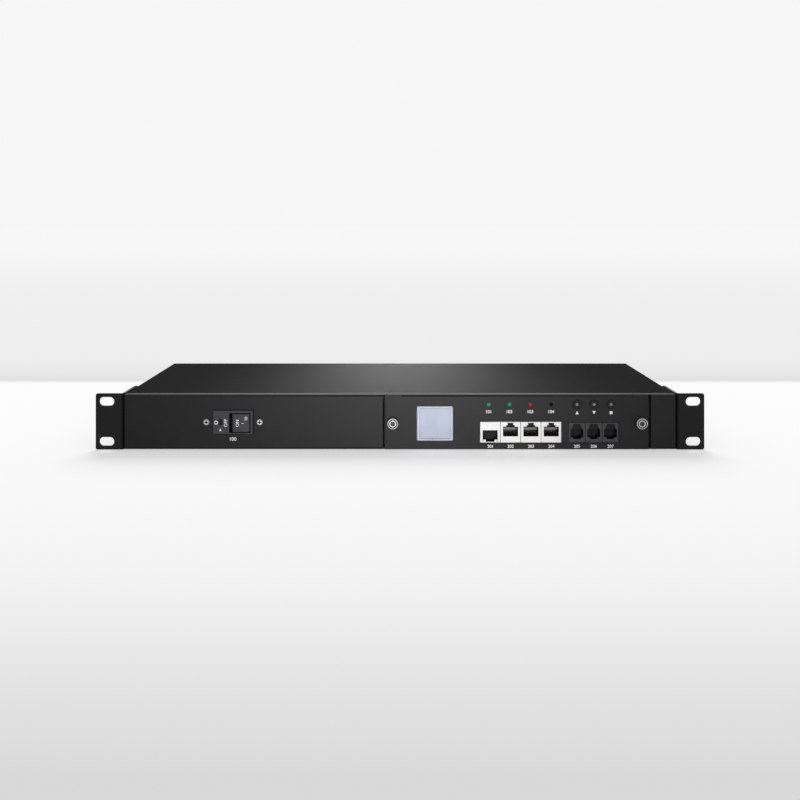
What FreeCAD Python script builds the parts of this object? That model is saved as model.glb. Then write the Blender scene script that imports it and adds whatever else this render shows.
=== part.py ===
"""A 1U rack power distribution unit: folded steel case on two rack ears, circuit breaker at the front left,
slide-out control module at the front right and a row of appliance outlets at the rear.

Millimetres. +X right, +Y towards the rear, +Z up. The origin is the centre of the four rack slots,
on the rear faces of the ears, where they meet the rack's front rails."""

import FreeCAD
import Part
import math
import os

V = FreeCAD.Vector

# Rack interface
RACK_W = 482.6            # across the ears
EAR_REACH = 22.8          # each ear past the case's side
SLOT_INSET = 8.75         # slots' middles from the ears' ends
SLOT_PITCH_Z = 31.75
SLOT_W = 7.0
SLOT_L = 11.8
EAR_T = 2.0
EAR_CORNER_R = 1.6
EAR_BEND_R = 1.4
EAR_FLANGE_L = 48.0       # along the side of the case

# Case
CASE_D = 200.0
CASE_H = 44.4
SHEET = 1.2
BEND_R = 0.8
FLANGE_L = 18.0           # return flange along the top of the front wall
REAR_FLANGE_L = 14.0
UPSTAND_H = 13.0          # tray's side upstands, inside the cover
UPSTAND_START = 62.0
FIT = 0.1                 # between sheets that slide together
SEAT = 0.3                # between pieces that move past each other

# Control module: its place follows the case's right side, floor and top
BAY_INSET = 20.1          # panel's right end from the case's side
BAY_DEPTH = 120.0
SEAM = 0.5                # round the module's panel
CORNER_RELIEF = 1.2       # panel is this much narrower above and below its side lips
LIP_LOW = 4.6             # side lips' lower end above the bottom
LIP_HIGH = 5.7            # and their upper end below the top
LIP_L = 6.0
TOP_LIP_LEFT = 14.3       # top lip from the panel's two ends
TOP_LIP_RIGHT = 13.4
TOP_LIP_L = 10.0
BOARD_T = 1.6
BOARD_RISE = 4.2          # control board's top above the floor
BOARD_SHORT = 10.0        # its back edge ahead of the bay's end
BOARD_X_GAP = 0.4
GUIDE_WALL = 2.0
GUIDE_LIP = 6.0
GUIDE_LIP_T = 2.0
TONGUE_LEFT = 1.5         # tongue's left side from the first jack's middle
TONGUE_W = 40.0
TONGUE_L = 6.0

# Captive screws
CAPTIVE_LEFT = 7.5        # from the panel's two ends
CAPTIVE_RIGHT = 8.1
CAPTIVE_Z = -0.5
KNOB_R = 4.5
KNOB_L = 7.2
KNURLS = 28
KNURL_DEPTH = 0.22
CAPTIVE_SHANK_R = 2.0
CAPTIVE_REACH = 13.0      # shank's end behind the front plane
TAB_Y = 8.5               # nut tab's front face behind the front plane
TAB_Z0 = -12.0
TAB_Z1 = 14.0
TAB_W = 15.1
NUT_R = 3.6
NUT_L = 3.0
COLLAR_R = 3.5
COLLAR_FLANGE_T = 1.6

# Jacks: the housings stand on the control board, side by side
JACKS_RIGHT = 31.4        # last jack's middle from the panel's right end
GROUP_GAP = 5.84          # between the wide and the narrow jacks
RJ45_COUNT = 4
RJ45_GAP = 0.37
RJ45_W = 15.8
RJ45_H = 16.4
RJ45_D = 18.0
RJ45_RIM = 1.9            # each side of the mouth
RJ11_COUNT = 3
RJ11_GAP = 0.25
RJ11_W = 13.1
RJ11_H = 15.8
RJ11_D = 16.0
RJ11_RIM = 1.45
JACK_SET_BACK = 0.3       # housing's face behind the panel's face
MOUTH_DEPTH = 12.5
NET_MOUTH_Z = 2.3         # lower edge of each mouth above the board
NET_MOUTH_H = 7.5
LINK_MOUTH_Z = 4.9
LINK_MOUTH_H = 7.8
PHONE_MOUTH_Z = 4.2
PHONE_MOUTH_H = 6.3
CONTACT_T = 0.4
CONTACT_PITCH = 1.02

# Display, lamps and keys
DISPLAY_GAP = 21.6        # from the display to the first jack
DISPLAY_LEFT = 26.6       # and to the panel's left end
DISPLAY_W = 28.6
DISPLAY_H = 27.2
DISPLAY_PROUD = 1.0
DISPLAY_RISE = 1.0        # display module above the control board
LCD_OVER_X = 0.7          # display module past the frame
LCD_OVER_Z = 0.6
ROW_DROP = 8.7            # lamps and keys below the top
LAMP_LEFT = 1.2           # first lamp left of the first jack
LAMP_PITCH = 16.57
LAMP_R = 1.6
RESET_R = 1.5
KEY_SHIFT = 0.1           # first key right of the first narrow jack
KEY_PITCH = 13.5
KEY_R = 2.0
KEY_DISH_R = 4.1
SWITCH_W = 6.0
SWITCH_D = 3.8
KEY_BOARD_Y = 7.8         # front face of the indicator board behind the front plane

# Circuit breaker
BREAKER_SHIFT = 16.45     # left of the middle of the front wall's left part
BREAKER_Z = -0.5
BREAKER_FACE_W = 32.1
BREAKER_FACE_H = 19.2
BREAKER_PROUD = 0.6
BREAKER_CASE_D = 55.0
BREAKER_SCREW_PITCH = 42.2
BREAKER_EAR = 3.9         # case past its screws
ROCKER_W = 13.4
ROCKER_H = 14.2
ROCKER_X = 6.4            # rocker's pivot, right of the breaker's centre
ROCKER_Z = -0.6
ROCKER_PIVOT_DEPTH = 10.0
ROCKER_HUB_R = 3.4
ROCKER_PIN_R = 1.5
ROCKER_GAP = 0.75
ROCKER_TRAVEL_GAP = 2.75

# Rear sockets
OUTLET_COUNT = 8
OUTLET_START = 51.0       # first outlet from the inlet
OUTLET_INSET = 31.5       # last outlet from the case's side
OUTLET_FLANGE_W = 33.0
OUTLET_FLANGE_H = 25.6
OUTLET_FLANGE_T = 2.2
OUTLET_LIP = 1.5          # flange past the body
OUTLET_WALL = 1.4         # round the well
OUTLET_ROOM = 3.1         # between the well's wall and its core
OUTLET_BODY_D = 24.0
OUTLET_WELL_D = 15.0
INLET_INSET = 32.5        # from the case's side
INLET_FLANGE_H = 25.0
INLET_FLANGE_T = 3.0
INLET_BODY_W = 28.0
INLET_BODY_H = 20.4
INLET_BODY_D = 24.0
INLET_WALL = 1.8          # round the well
INLET_WELL_D = 16.5
INLET_SCREW_PITCH = 40.0
INLET_EAR = 5.0           # flange past its screws
PIN_PITCH = 7.0
PIN_W = 4.0
PIN_T = 2.0

# Power wiring
BUSBAR_T = 1.2
BUSBAR_H = 6.0
BUSBAR_SPACING = 9.0      # between the bars' middles
BUSBAR_GAP = 8.0          # from the outlets' backs to the bars
LEAD_R = 1.6
LEAD_BEND_R = 7.0
EARTH_BEND_R = 5.0
METER_LEFT = 9.7          # meter board's left edge from the breaker's middle
METER_BEHIND = 19.8       # and its front edge from the breaker's back
METER_W = 92.0
METER_L = 76.0
STANDOFF_H = 6.0
STANDOFF_R = 3.0

# Planes that the pieces share
CASE_W = RACK_W - 2 * EAR_REACH
SLOT_PITCH_X = RACK_W - 2 * SLOT_INSET
FRONT = -EAR_T
REAR = FRONT + CASE_D
BOTTOM = -CASE_H / 2
TOP = CASE_H / 2
FLOOR = BOTTOM + SHEET
CEIL = TOP - SHEET
SIDE = CASE_W / 2
TRAY_SIDE = SIDE - SHEET - FIT
PANEL_BACK = FRONT + SHEET
BEND_OUT = BEND_R + SHEET
BOARD_TOP = FLOOR + BOARD_RISE
BOARD_BOTTOM = BOARD_TOP - BOARD_T
BOARD_END = FRONT + BAY_DEPTH - BOARD_SHORT

# Places along the front, from the right side of the case to the left
BAY_X1 = SIDE - BAY_INSET
RJ11_PITCH = RJ11_W + RJ11_GAP
RJ11_LAST = BAY_X1 - JACKS_RIGHT
RJ11_X0 = RJ11_LAST - (RJ11_COUNT - 1) * RJ11_PITCH
RJ45_PITCH = RJ45_W + RJ45_GAP
RJ45_LAST = RJ11_X0 - (RJ11_W + RJ45_W) / 2 - GROUP_GAP
RJ45_X0 = RJ45_LAST - (RJ45_COUNT - 1) * RJ45_PITCH
DISPLAY_X = RJ45_X0 - (RJ45_W + DISPLAY_W) / 2 - DISPLAY_GAP
BAY_X0 = DISPLAY_X - DISPLAY_W / 2 - DISPLAY_LEFT
BAY_MID = (BAY_X0 + BAY_X1) / 2
CAPTIVE_X0 = BAY_X0 + CAPTIVE_LEFT
CAPTIVE_X1 = BAY_X1 - CAPTIVE_RIGHT
LAMP_X0 = RJ45_X0 - LAMP_LEFT
KEY_X0 = RJ11_X0 + KEY_SHIFT
RESET_X = RJ45_LAST
TONGUE_X0 = RJ45_X0 - TONGUE_LEFT
BREAKER_X = (BAY_X0 - SIDE) / 2 - BREAKER_SHIFT
ROW_Z = TOP - ROW_DROP
DISPLAY_Z = BOARD_TOP + DISPLAY_RISE + LCD_OVER_Z + DISPLAY_H / 2

# Places along the rear, from the left
INLET_X = INLET_INSET - SIDE
OUTLET_X0 = INLET_X + OUTLET_START
OUTLET_PITCH = (SIDE - OUTLET_INSET - OUTLET_X0) / (OUTLET_COUNT - 1)


# Shape helpers

def point(plane, u, v, at):
    """A point of a drawing plane: XZ is the front view, XY the plan and YZ the side view."""
    if plane == "XZ":
        return V(u, at, v)
    if plane == "XY":
        return V(u, v, at)
    return V(at, u, v)


def outline(corners, plane, at):
    """A closed wire through (u, v) or (u, v, radius) corners, with an arc at each corner with a radius."""
    rounded = []
    count = len(corners)
    for i, corner in enumerate(corners):
        u, v = corner[:2]
        radius = corner[2] if len(corner) > 2 else 0
        here = V(u, v, 0)
        before = V(*corners[i - 1][:2], 0) - here
        after = V(*corners[(i + 1) % count][:2], 0) - here
        if radius == 0:
            rounded.append((here, None, here))
            continue
        before.normalize()
        after.normalize()
        half = before.getAngle(after) / 2
        reach = radius / math.tan(half)
        middle = before + after
        middle.normalize()
        top = here + middle * (radius / math.sin(half) - radius)
        rounded.append((here + before * reach, top, here + after * reach))

    def place(p):
        return point(plane, p.x, p.y, at)

    edges = []
    for i, (start, top, end) in enumerate(rounded):
        if top is not None:
            edges.append(Part.Arc(place(start), place(top), place(end)).toShape())
        following = rounded[(i + 1) % count][0]
        if end.distanceToPoint(following) > 1e-6:
            edges.append(Part.LineSegment(place(end), place(following)).toShape())
    return Part.Wire(edges)


def prism(corners, plane, low, high):
    """The outline's face, drawn out from low to high along the plane's normal."""
    face = Part.Face(outline(corners, plane, low))
    return face.extrude(point(plane, 0, 0, high - low))


def box(x0, x1, y0, y1, z0, z1):
    return Part.makeBox(x1 - x0, y1 - y0, z1 - z0, V(x0, y0, z0))


def rect(u, v, width, height, radius=0.0):
    """Corners of a rectangle centred at u, v."""
    w, h = width / 2, height / 2
    return [(u - w, v - h, radius), (u + w, v - h, radius), (u + w, v + h, radius), (u - w, v + h, radius)]


def hexagon(u, v, radius):
    """Corners of a nut round u, v."""
    angles = [math.pi * k / 3 for k in range(6)]
    return [(u + radius * math.cos(angle), v + radius * math.sin(angle)) for angle in angles]


def rod(radius, start, end):
    """A cylinder between two points."""
    axis = V(*end) - V(*start)
    return Part.makeCylinder(radius, axis.Length, V(*start), axis)


def turned(profile, origin, axis):
    """A turned piece: (radius, distance along the axis) points, closed on the axis."""
    points = [V(0, 0, profile[0][1])] + [V(r, 0, d) for r, d in profile] + [V(0, 0, profile[-1][1])]
    corners = [points[0]]
    for p in points[1:]:
        if p.distanceToPoint(corners[-1]) > 1e-6:
            corners.append(p)
    wire = Part.makePolygon(corners + [corners[0]])
    solid = Part.Face(wire).revolve(V(0, 0, 0), V(0, 0, 1), 360)
    solid.Placement = FreeCAD.Placement(V(*origin), FreeCAD.Rotation(V(0, 0, 1), V(*axis)))
    return solid


def along_y(profile, x, z):
    """A turned piece about a line along Y: (radius, y) points."""
    return turned(profile, (x, 0, z), (0, 1, 0))


def y_hole(radius, x, z, y0, y1):
    return rod(radius, (x, y0, z), (x, y1, z))


def join(*shapes):
    """Shapes made one piece, with the seams between flush faces removed."""
    return shapes[0].fuse(list(shapes[1:])).removeSplitter()


def mirrored(shape, x):
    """The shape's mirror image across the plane at x."""
    return shape.mirror(V(x, 0, 0), V(1, 0, 0))


def pan_screw(origin, axis, head_r, head_h, shank_r, length):
    """A pan-head screw with a cross recess; the axis points out of the head."""
    edge = head_h * 0.45
    profile = [(shank_r, -length), (shank_r, 0), (head_r, 0), (head_r, edge), (head_r - edge, head_h)]
    body = turned(profile, (0, 0, 0), (0, 0, 1))
    slot, deep = head_r * 0.32, head_h * 0.6
    for w, d in ((head_r * 1.1, slot), (slot, head_r * 1.1)):
        body = body.cut(box(-w / 2, w / 2, -d / 2, d / 2, head_h - deep, head_h + 1))
    body.Placement = FreeCAD.Placement(V(*origin), FreeCAD.Rotation(V(0, 0, 1), V(*axis)))
    return body


def flat_screw(origin, axis, head_r, head_h, shank_r, length):
    """A countersunk screw, flush at its origin; the axis points out of the head."""
    profile = [(shank_r, -length), (shank_r, -head_h), (head_r, 0)]
    body = turned(profile, (0, 0, 0), (0, 0, 1))
    slot, deep = head_r * 0.3, head_h * 0.7
    for w, d in ((head_r * 1.1, slot), (slot, head_r * 1.1)):
        body = body.cut(box(-w / 2, w / 2, -d / 2, d / 2, -deep, 1))
    body.Placement = FreeCAD.Placement(V(*origin), FreeCAD.Rotation(V(0, 0, 1), V(*axis)))
    return body


def countersink(origin, axis, head_r, head_h, hole_r, length):
    """The cutter for a flat screw: its cone and its clearance hole."""
    profile = [(hole_r, -length), (hole_r, -head_h), (head_r, 0), (head_r, 1)]
    return turned(profile, origin, axis)


# Case

COVER_START = FRONT + BEND_OUT + SEAT + FIT     # just behind the front wall's bend
SCREW_HEAD_R = 2.5
SCREW_HEAD_H = 1.1
SCREW_R = 1.4
SCREW_HOLE_R = 1.5
SCREW_L = 6.0
COVER_SCREW_INSET = 14.5      # from the case's sides
COVER_SCREW_Y = 16.0          # behind the front plane
COVER_SCREW_REAR = 7.0        # ahead of the rear plane
COVER_SCREW_BAY = 6.0         # middle screw from the panel's left end
COVER_SCREW_MID_X = BAY_X0 + COVER_SCREW_BAY
EAR_SCREW_R = 1.95
EAR_SCREW_HOLE_R = 2.1
EAR_SCREW_HEAD_R = 3.5
EAR_SCREW_HEAD_H = 2.2
EAR_SCREW_L = 8.0
EAR_SCREW_SPOTS = ((16.0, 11.0), (16.0, -11.0), (38.0, 0.0))    # behind the front plane, and height


def cover_screw_spots():
    """Places of the flush screws along the cover's front and rear edges."""
    outer = SIDE - COVER_SCREW_INSET
    front = [(x, FRONT + COVER_SCREW_Y) for x in (-outer, COVER_SCREW_MID_X, outer)]
    rear = [(x, REAR - COVER_SCREW_REAR) for x in (-outer, 0.0, outer)]
    return front + rear


def base_tray():
    """Front wall with its return flange, floor and side upstands, folded from one sheet."""
    upstand_y0 = FRONT + UPSTAND_START
    upstand_y1 = REAR - REAR_FLANGE_L - 2.0
    front_fold = prism([(FRONT + FLANGE_L, CEIL), (FRONT, CEIL, BEND_OUT), (FRONT, BOTTOM, BEND_OUT),
                        (upstand_y0, BOTTOM), (upstand_y0, FLOOR), (PANEL_BACK, FLOOR, BEND_R),
                        (PANEL_BACK, CEIL - SHEET, BEND_R), (FRONT + FLANGE_L, CEIL - SHEET)],
                       "YZ", -SIDE, SIDE)
    for x0, x1 in ((-SIDE - 1, -TRAY_SIDE), (TRAY_SIDE, SIDE + 1)):
        front_fold = front_fold.cut(box(x0, x1, FRONT + BEND_OUT + FIT, upstand_y0 + 1, BOTTOM - 1, TOP))
    top = BOTTOM + UPSTAND_H
    trough = prism([(-TRAY_SIDE, top), (-TRAY_SIDE, BOTTOM, BEND_OUT), (TRAY_SIDE, BOTTOM, BEND_OUT),
                    (TRAY_SIDE, top), (TRAY_SIDE - SHEET, top), (TRAY_SIDE - SHEET, FLOOR, BEND_R),
                    (-TRAY_SIDE + SHEET, FLOOR, BEND_R), (-TRAY_SIDE + SHEET, top)],
                   "XZ", upstand_y0, upstand_y1)
    tail = box(-TRAY_SIDE, TRAY_SIDE, upstand_y1, REAR, BOTTOM, FLOOR)
    tray = join(front_fold, trough, tail)
    bay_x0, bay_x1 = BAY_X0 - SEAM, BAY_X1 + SEAM
    tray = tray.cut(box(bay_x0, bay_x1, FRONT - 1, FRONT + BEND_OUT + SEAT, BOTTOM - 1, TOP))
    tray = tray.cut(box(bay_x0, bay_x1, FRONT, FRONT + FLANGE_L + 1, FLOOR, TOP))
    window = rect(BREAKER_X, BREAKER_Z, BREAKER_FACE_W + 2 * SEAT, BREAKER_FACE_H + 2 * SEAT, 0.4)
    tray = tray.cut(prism(window, "XZ", FRONT - 1, PANEL_BACK + 1))
    for side in (-1, 1):
        x = BREAKER_X + side * BREAKER_SCREW_PITCH / 2
        tray = tray.cut(rod(SCREW_HOLE_R, (x, FRONT - 1, BREAKER_Z), (x, PANEL_BACK + 1, BREAKER_Z)))
    for x, y in cover_screw_spots():
        if y < 0.5 * (FRONT + REAR) and not bay_x0 < x < bay_x1:
            tray = tray.cut(rod(SCREW_HOLE_R, (x, y, CEIL - SHEET - 1), (x, y, CEIL + 1)))
    return tray.cut(bend_relief())


def bend_relief():
    """Room for the inside of the cover's bends, cut from the flanges below it."""
    inner = TRAY_SIDE - BEND_R
    return Part.Compound([box(x0, x0 + 4, COVER_START - FIT, REAR + 1, CEIL - BEND_OUT, TOP)
                          for x0 in (-inner - 4, inner)])


def top_cover():
    """Top and both sides, folded from one sheet, with flush screw holes."""
    low = BOTTOM + 2 * FIT
    inner = SIDE - SHEET
    cover = prism([(-SIDE, low), (-SIDE, TOP, BEND_OUT), (SIDE, TOP, BEND_OUT), (SIDE, low), (inner, low),
                   (inner, CEIL, BEND_R), (-inner, CEIL, BEND_R), (-inner, low)], "XZ", COVER_START, REAR)
    for x, y in cover_screw_spots():
        cover = cover.cut(countersink((x, y, TOP), (0, 0, 1), SCREW_HEAD_R + FIT, SCREW_HEAD_H,
                                      SCREW_HOLE_R, SCREW_L))
    for behind, z in EAR_SCREW_SPOTS:
        for x in (-SIDE, SIDE):
            y = FRONT + behind
            cover = cover.cut(rod(EAR_SCREW_HOLE_R, (x - 2 * SHEET, y, z), (x + 2 * SHEET, y, z)))
    return cover


def rear_panel():
    """Rear wall with flanges on the floor and under the cover, cut out for the outlets and the inlet."""
    edge = REAR - REAR_FLANGE_L
    low, high, inner = FLOOR + SHEET, CEIL - SHEET, REAR - SHEET
    panel = prism([(edge, FLOOR), (REAR, FLOOR, BEND_OUT), (REAR, CEIL, BEND_OUT), (edge, CEIL), (edge, high),
                   (inner, high, BEND_R), (inner, low, BEND_R), (edge, low)], "YZ", -TRAY_SIDE, TRAY_SIDE)
    for x in outlet_places():
        hole = rect(x, 0, OUTLET_BODY_W + 2 * FIT, OUTLET_BODY_H + 2 * FIT)
        panel = panel.cut(prism(hole, "XZ", REAR - 2 * SHEET, REAR + 1))
    hole = rect(INLET_X, 0, INLET_BODY_W + 2 * FIT, INLET_BODY_H + 2 * FIT)
    panel = panel.cut(prism(hole, "XZ", REAR - 2 * SHEET, REAR + 1))
    for side in (-1, 1):
        x = INLET_X + side * INLET_SCREW_PITCH / 2
        panel = panel.cut(rod(SCREW_HOLE_R, (x, REAR - 2 * SHEET, 0), (x, REAR + 1, 0)))
    for x, y in cover_screw_spots():
        if y > 0.5 * (FRONT + REAR):
            panel = panel.cut(rod(SCREW_HOLE_R, (x, y, CEIL - SHEET - 1), (x, y, CEIL + 1)))
    return panel.cut(bend_relief())


def left_ear_bracket():
    """Rack ear and side flange, folded from one heavier sheet."""
    outer_bend = EAR_BEND_R + EAR_T
    end = FRONT + EAR_FLANGE_L
    ear = prism([(-RACK_W / 2, FRONT), (-SIDE, FRONT, outer_bend), (-SIDE, end), (-SIDE - EAR_T, end),
                 (-SIDE - EAR_T, FRONT + EAR_T, EAR_BEND_R), (-RACK_W / 2, FRONT + EAR_T)],
                "XY", BOTTOM, TOP)
    corners = [(-RACK_W / 2, BOTTOM, EAR_CORNER_R), (0, BOTTOM), (0, TOP), (-RACK_W / 2, TOP, EAR_CORNER_R)]
    ear = ear.common(prism(corners, "XZ", FRONT - 1, end + 1))
    radius = 2 * EAR_CORNER_R
    corners = [(FRONT - 1, BOTTOM), (end, BOTTOM, radius), (end, TOP, radius), (FRONT - 1, TOP)]
    ear = ear.common(prism(corners, "YZ", -RACK_W, 0))
    for z in (-SLOT_PITCH_Z / 2, SLOT_PITCH_Z / 2):
        slot = rect(-SLOT_PITCH_X / 2, z, SLOT_L, SLOT_W, SLOT_W / 2 - 1e-3)
        ear = ear.cut(prism(slot, "XZ", FRONT - 1, 1))
    for behind, z in EAR_SCREW_SPOTS:
        y = FRONT + behind
        ear = ear.cut(rod(EAR_SCREW_HOLE_R, (-SIDE - 2 * EAR_T, y, z), (-SIDE + 1, y, z)))
    return ear


def right_ear_bracket():
    return mirrored(left_ear_bracket(), 0)


def cover_screws():
    """Flush cross-head screws that hold the cover down."""
    return [flat_screw((x, y, TOP), (0, 0, 1), SCREW_HEAD_R, SCREW_HEAD_H, SCREW_R, SCREW_L)
            for x, y in cover_screw_spots()]


def ear_screws():
    """Pan-head screws through each ear's flange and the cover's side."""
    screws = []
    for side in (-1, 1):
        for behind, z in EAR_SCREW_SPOTS:
            screws.append(pan_screw((side * (SIDE + EAR_T), FRONT + behind, z), (side, 0, 0),
                                    EAR_SCREW_HEAD_R, EAR_SCREW_HEAD_H, EAR_SCREW_R, EAR_SCREW_L))
    return screws


def clinch_nut(origin, axis, bore_r):
    """A round nut pressed onto a sheet; the axis points away from the sheet."""
    nut = turned([(NUT_R, 0), (NUT_R, NUT_L - 0.5), (NUT_R - 0.5, NUT_L)], origin, axis)
    start, along = V(*origin), V(*axis)
    return nut.cut(rod(bore_r, start - along, start + along * (NUT_L + 1)))


def clinch_nuts():
    """Nuts inside the cover's sides for the ear screws, and on the bay's tabs for the captive screws."""
    nuts = []
    for side in (-1, 1):
        for behind, z in EAR_SCREW_SPOTS:
            seat = (side * (SIDE - SHEET), FRONT + behind, z)
            nuts.append(clinch_nut(seat, (-side, 0, 0), EAR_SCREW_HOLE_R))
    for x in (CAPTIVE_X0, CAPTIVE_X1):
        tab_back = FRONT + TAB_Y + SHEET
        nuts.append(clinch_nut((x, tab_back, CAPTIVE_Z), (0, 1, 0), CAPTIVE_SHANK_R + FIT))
    return nuts


# Module bay

WALL_X = BAY_X0 - 0.4         # bay wall's outer face, just behind the panel's lip
WALL_FOOT = 10.4
WALL_TOP_FLANGE = 12.6
WALL_START = 14.0             # behind the front plane
SOCKET_GAP = 0.6              # from the board's end to the edge socket
SOCKET_D = 12.0               # from the board's end to the socket's back
SOCKET_RISE = 4.8             # socket's top above the board
SOCKET_CHEEK = 4.0            # socket past the tongue


def bay_wall():
    """Upright sheet left of the module: foot on the floor, flange under the cover and a tab for the nut."""
    inner, foot, flange = WALL_X + SHEET, WALL_X - WALL_FOOT, WALL_X + WALL_TOP_FLANGE
    low, high = FLOOR + SHEET, CEIL - SHEET
    wall = prism([(foot, FLOOR), (inner, FLOOR, BEND_OUT), (inner, high, BEND_R), (flange, high),
                  (flange, CEIL), (WALL_X, CEIL, BEND_OUT), (WALL_X, low, BEND_R), (foot, low)],
                 "XZ", FRONT + WALL_START, FRONT + BAY_DEPTH)
    tab_y = FRONT + TAB_Y
    tab = prism([(WALL_X, tab_y, BEND_OUT), (WALL_X + TAB_W, tab_y), (WALL_X + TAB_W, tab_y + SHEET),
                 (inner, tab_y + SHEET, BEND_R), (inner, FRONT + WALL_START), (WALL_X, FRONT + WALL_START)],
                "XY", TAB_Z0, TAB_Z1)
    return join(wall, tab)


def captive_hole(x):
    """Clearance hole for a captive screw through a wall's tab."""
    tab_y = FRONT + TAB_Y
    return y_hole(CAPTIVE_SHANK_R + SEAT, x, CAPTIVE_Z, tab_y - 1, tab_y + SHEET + 1)


def bay_left_wall():
    x, y = COVER_SCREW_MID_X, FRONT + COVER_SCREW_Y
    screw_hole = rod(SCREW_HOLE_R, (x, y, CEIL - SHEET - 1), (x, y, CEIL + 1))
    return bay_wall().cut(captive_hole(CAPTIVE_X0)).cut(screw_hole)


def bay_right_wall():
    return mirrored(bay_wall(), BAY_MID).cut(captive_hole(CAPTIVE_X1))


def card_guides():
    """Two grooved plastic rails that the control board's edges slide in."""
    base = WALL_X + SHEET
    groove_low, groove_high = BOARD_BOTTOM - SEAT, BOARD_TOP + SEAT
    left = prism([(base, FLOOR), (base + GUIDE_LIP, FLOOR), (base + GUIDE_LIP, groove_low),
                  (base + GUIDE_WALL, groove_low), (base + GUIDE_WALL, groove_high),
                  (base + GUIDE_LIP, groove_high), (base + GUIDE_LIP, groove_high + GUIDE_LIP_T),
                  (base, groove_high + GUIDE_LIP_T)], "XZ", FRONT + WALL_START + 2, BOARD_END)
    rounding = [e for e in left.Edges if e.BoundBox.YLength < 1e-3 and e.BoundBox.ZLength > 1
                and abs(e.BoundBox.XMax - base - GUIDE_LIP) < 1e-3]
    left = left.makeChamfer(0.5, rounding)
    return [left, mirrored(left, BAY_MID)]


def edge_socket():
    """Slotted connector on the floor that the control board's tongue plugs into."""
    x0, x1 = TONGUE_X0 - SOCKET_CHEEK, TONGUE_X0 + TONGUE_W + SOCKET_CHEEK
    start, high = BOARD_END + SOCKET_GAP, BOARD_TOP + SOCKET_RISE
    body = prism([(x0, FLOOR), (x1, FLOOR), (x1, high, 0.6), (x0, high, 0.6)],
                 "XZ", start, BOARD_END + SOCKET_D)
    slot = box(TONGUE_X0 - 1, TONGUE_X0 + TONGUE_W + 1, start - 1, BOARD_END + TONGUE_L + 1.5,
               BOARD_BOTTOM - SEAT, BOARD_TOP + SEAT)
    return body.cut(slot)


# Circuit breaker

BREAKER_CASE_W = BREAKER_SCREW_PITCH + 2 * BREAKER_EAR
BREAKER_CASE_H = 24.0
BREAKER_BACK = PANEL_BACK + BREAKER_CASE_D
BREAKER_SCREW_L = 8.0
BREAKER_HEAD_R = 2.7
BREAKER_HEAD_H = 1.4
POLE_X = 12.0                 # each terminal from the breaker's centre
TAB_BLADE_W = 6.3
TAB_BLADE_T = 0.8
BLADE_L = 10.0
ROCKER_PROUD = 1.4
ROCKER_SLAB = 4.0             # rocker's straight sides, front to back
ROCKER_PIN_L = 2.0            # each trunnion, past the rocker's end and gap
STATUS_X = -9.8               # small indicator slot in the fixed half of the face
STATUS_Z = -0.45
STATUS_W = 3.0
STATUS_H = 5.1
STATUS_DEPTH = 1.6


def rocker_limits():
    """The rocker's pivot line and its lower and upper ends."""
    middle = BREAKER_Z + ROCKER_Z
    return BREAKER_X + ROCKER_X, FRONT + ROCKER_PIVOT_DEPTH, middle - ROCKER_H / 2, middle + ROCKER_H / 2


def breaker_case():
    """Moulded case with a proud face, the rocker's recess and its two bearing holes."""
    outer = rect(BREAKER_X, BREAKER_Z, BREAKER_CASE_W, BREAKER_CASE_H, 0.8)
    body = prism(outer, "XZ", PANEL_BACK, BREAKER_BACK)
    face = prism(rect(BREAKER_X, BREAKER_Z, BREAKER_FACE_W, BREAKER_FACE_H, 0.3), "XZ",
                 FRONT - BREAKER_PROUD, PANEL_BACK)
    front_edges = [e for e in face.Edges if e.BoundBox.YMax < FRONT - BREAKER_PROUD + 1e-3]
    case = join(body, face.makeChamfer(0.25, front_edges))
    px, py, low, high = rocker_limits()
    left, right = px - ROCKER_W / 2 - ROCKER_TRAVEL_GAP, px + ROCKER_W / 2 + ROCKER_GAP
    deep = py + ROCKER_HUB_R + ROCKER_GAP
    case = case.cut(box(left, right, FRONT - 2, deep, low - ROCKER_GAP, high + ROCKER_GAP))
    reach = ROCKER_GAP + ROCKER_PIN_L + FIT
    case = case.cut(rod(ROCKER_PIN_R + FIT, (px, py, low - reach), (px, py, high + reach)))
    slot_top = STATUS_Z + STATUS_H / 2
    x0, x1 = BREAKER_X + STATUS_X - STATUS_W / 2, BREAKER_X + STATUS_X + STATUS_W / 2
    bottom, radius = slot_top - STATUS_H, STATUS_W / 2 - 0.01
    slot = [(x0, slot_top), (x0, bottom, radius), (x1, bottom, radius), (x1, slot_top)]
    case = case.cut(prism(slot, "XZ", FRONT - 2, FRONT - BREAKER_PROUD + STATUS_DEPTH))
    for side in (-1, 1):
        x = BREAKER_X + side * BREAKER_SCREW_PITCH / 2
        case = case.cut(y_hole(SCREW_HOLE_R, x, BREAKER_Z, FRONT, FRONT + BREAKER_SCREW_L + SEAT))
    return case


def breaker_rocker():
    """Rocker block on a hub, with a trunnion at each end."""
    px, py, low, high = rocker_limits()
    half, front = ROCKER_W / 2, FRONT - ROCKER_PROUD
    shoulder = front + ROCKER_SLAB
    block = prism([(px - half, front, 0.6), (px + half, front, 0.6), (px + half, shoulder),
                   (px + ROCKER_HUB_R - 0.6, py), (px - ROCKER_HUB_R + 0.6, py), (px - half, shoulder)],
                  "XY", low, high)
    front_edges = [e for e in block.Edges if e.BoundBox.YMax < front + 1e-3 and e.BoundBox.ZLength < 1e-3]
    block = block.makeChamfer(0.4, front_edges)
    hub = rod(ROCKER_HUB_R, (px, py, low), (px, py, high))
    reach = ROCKER_GAP + ROCKER_PIN_L
    pin = rod(ROCKER_PIN_R, (px, py, low - reach), (px, py, high + reach))
    return join(block, hub, pin)


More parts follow.
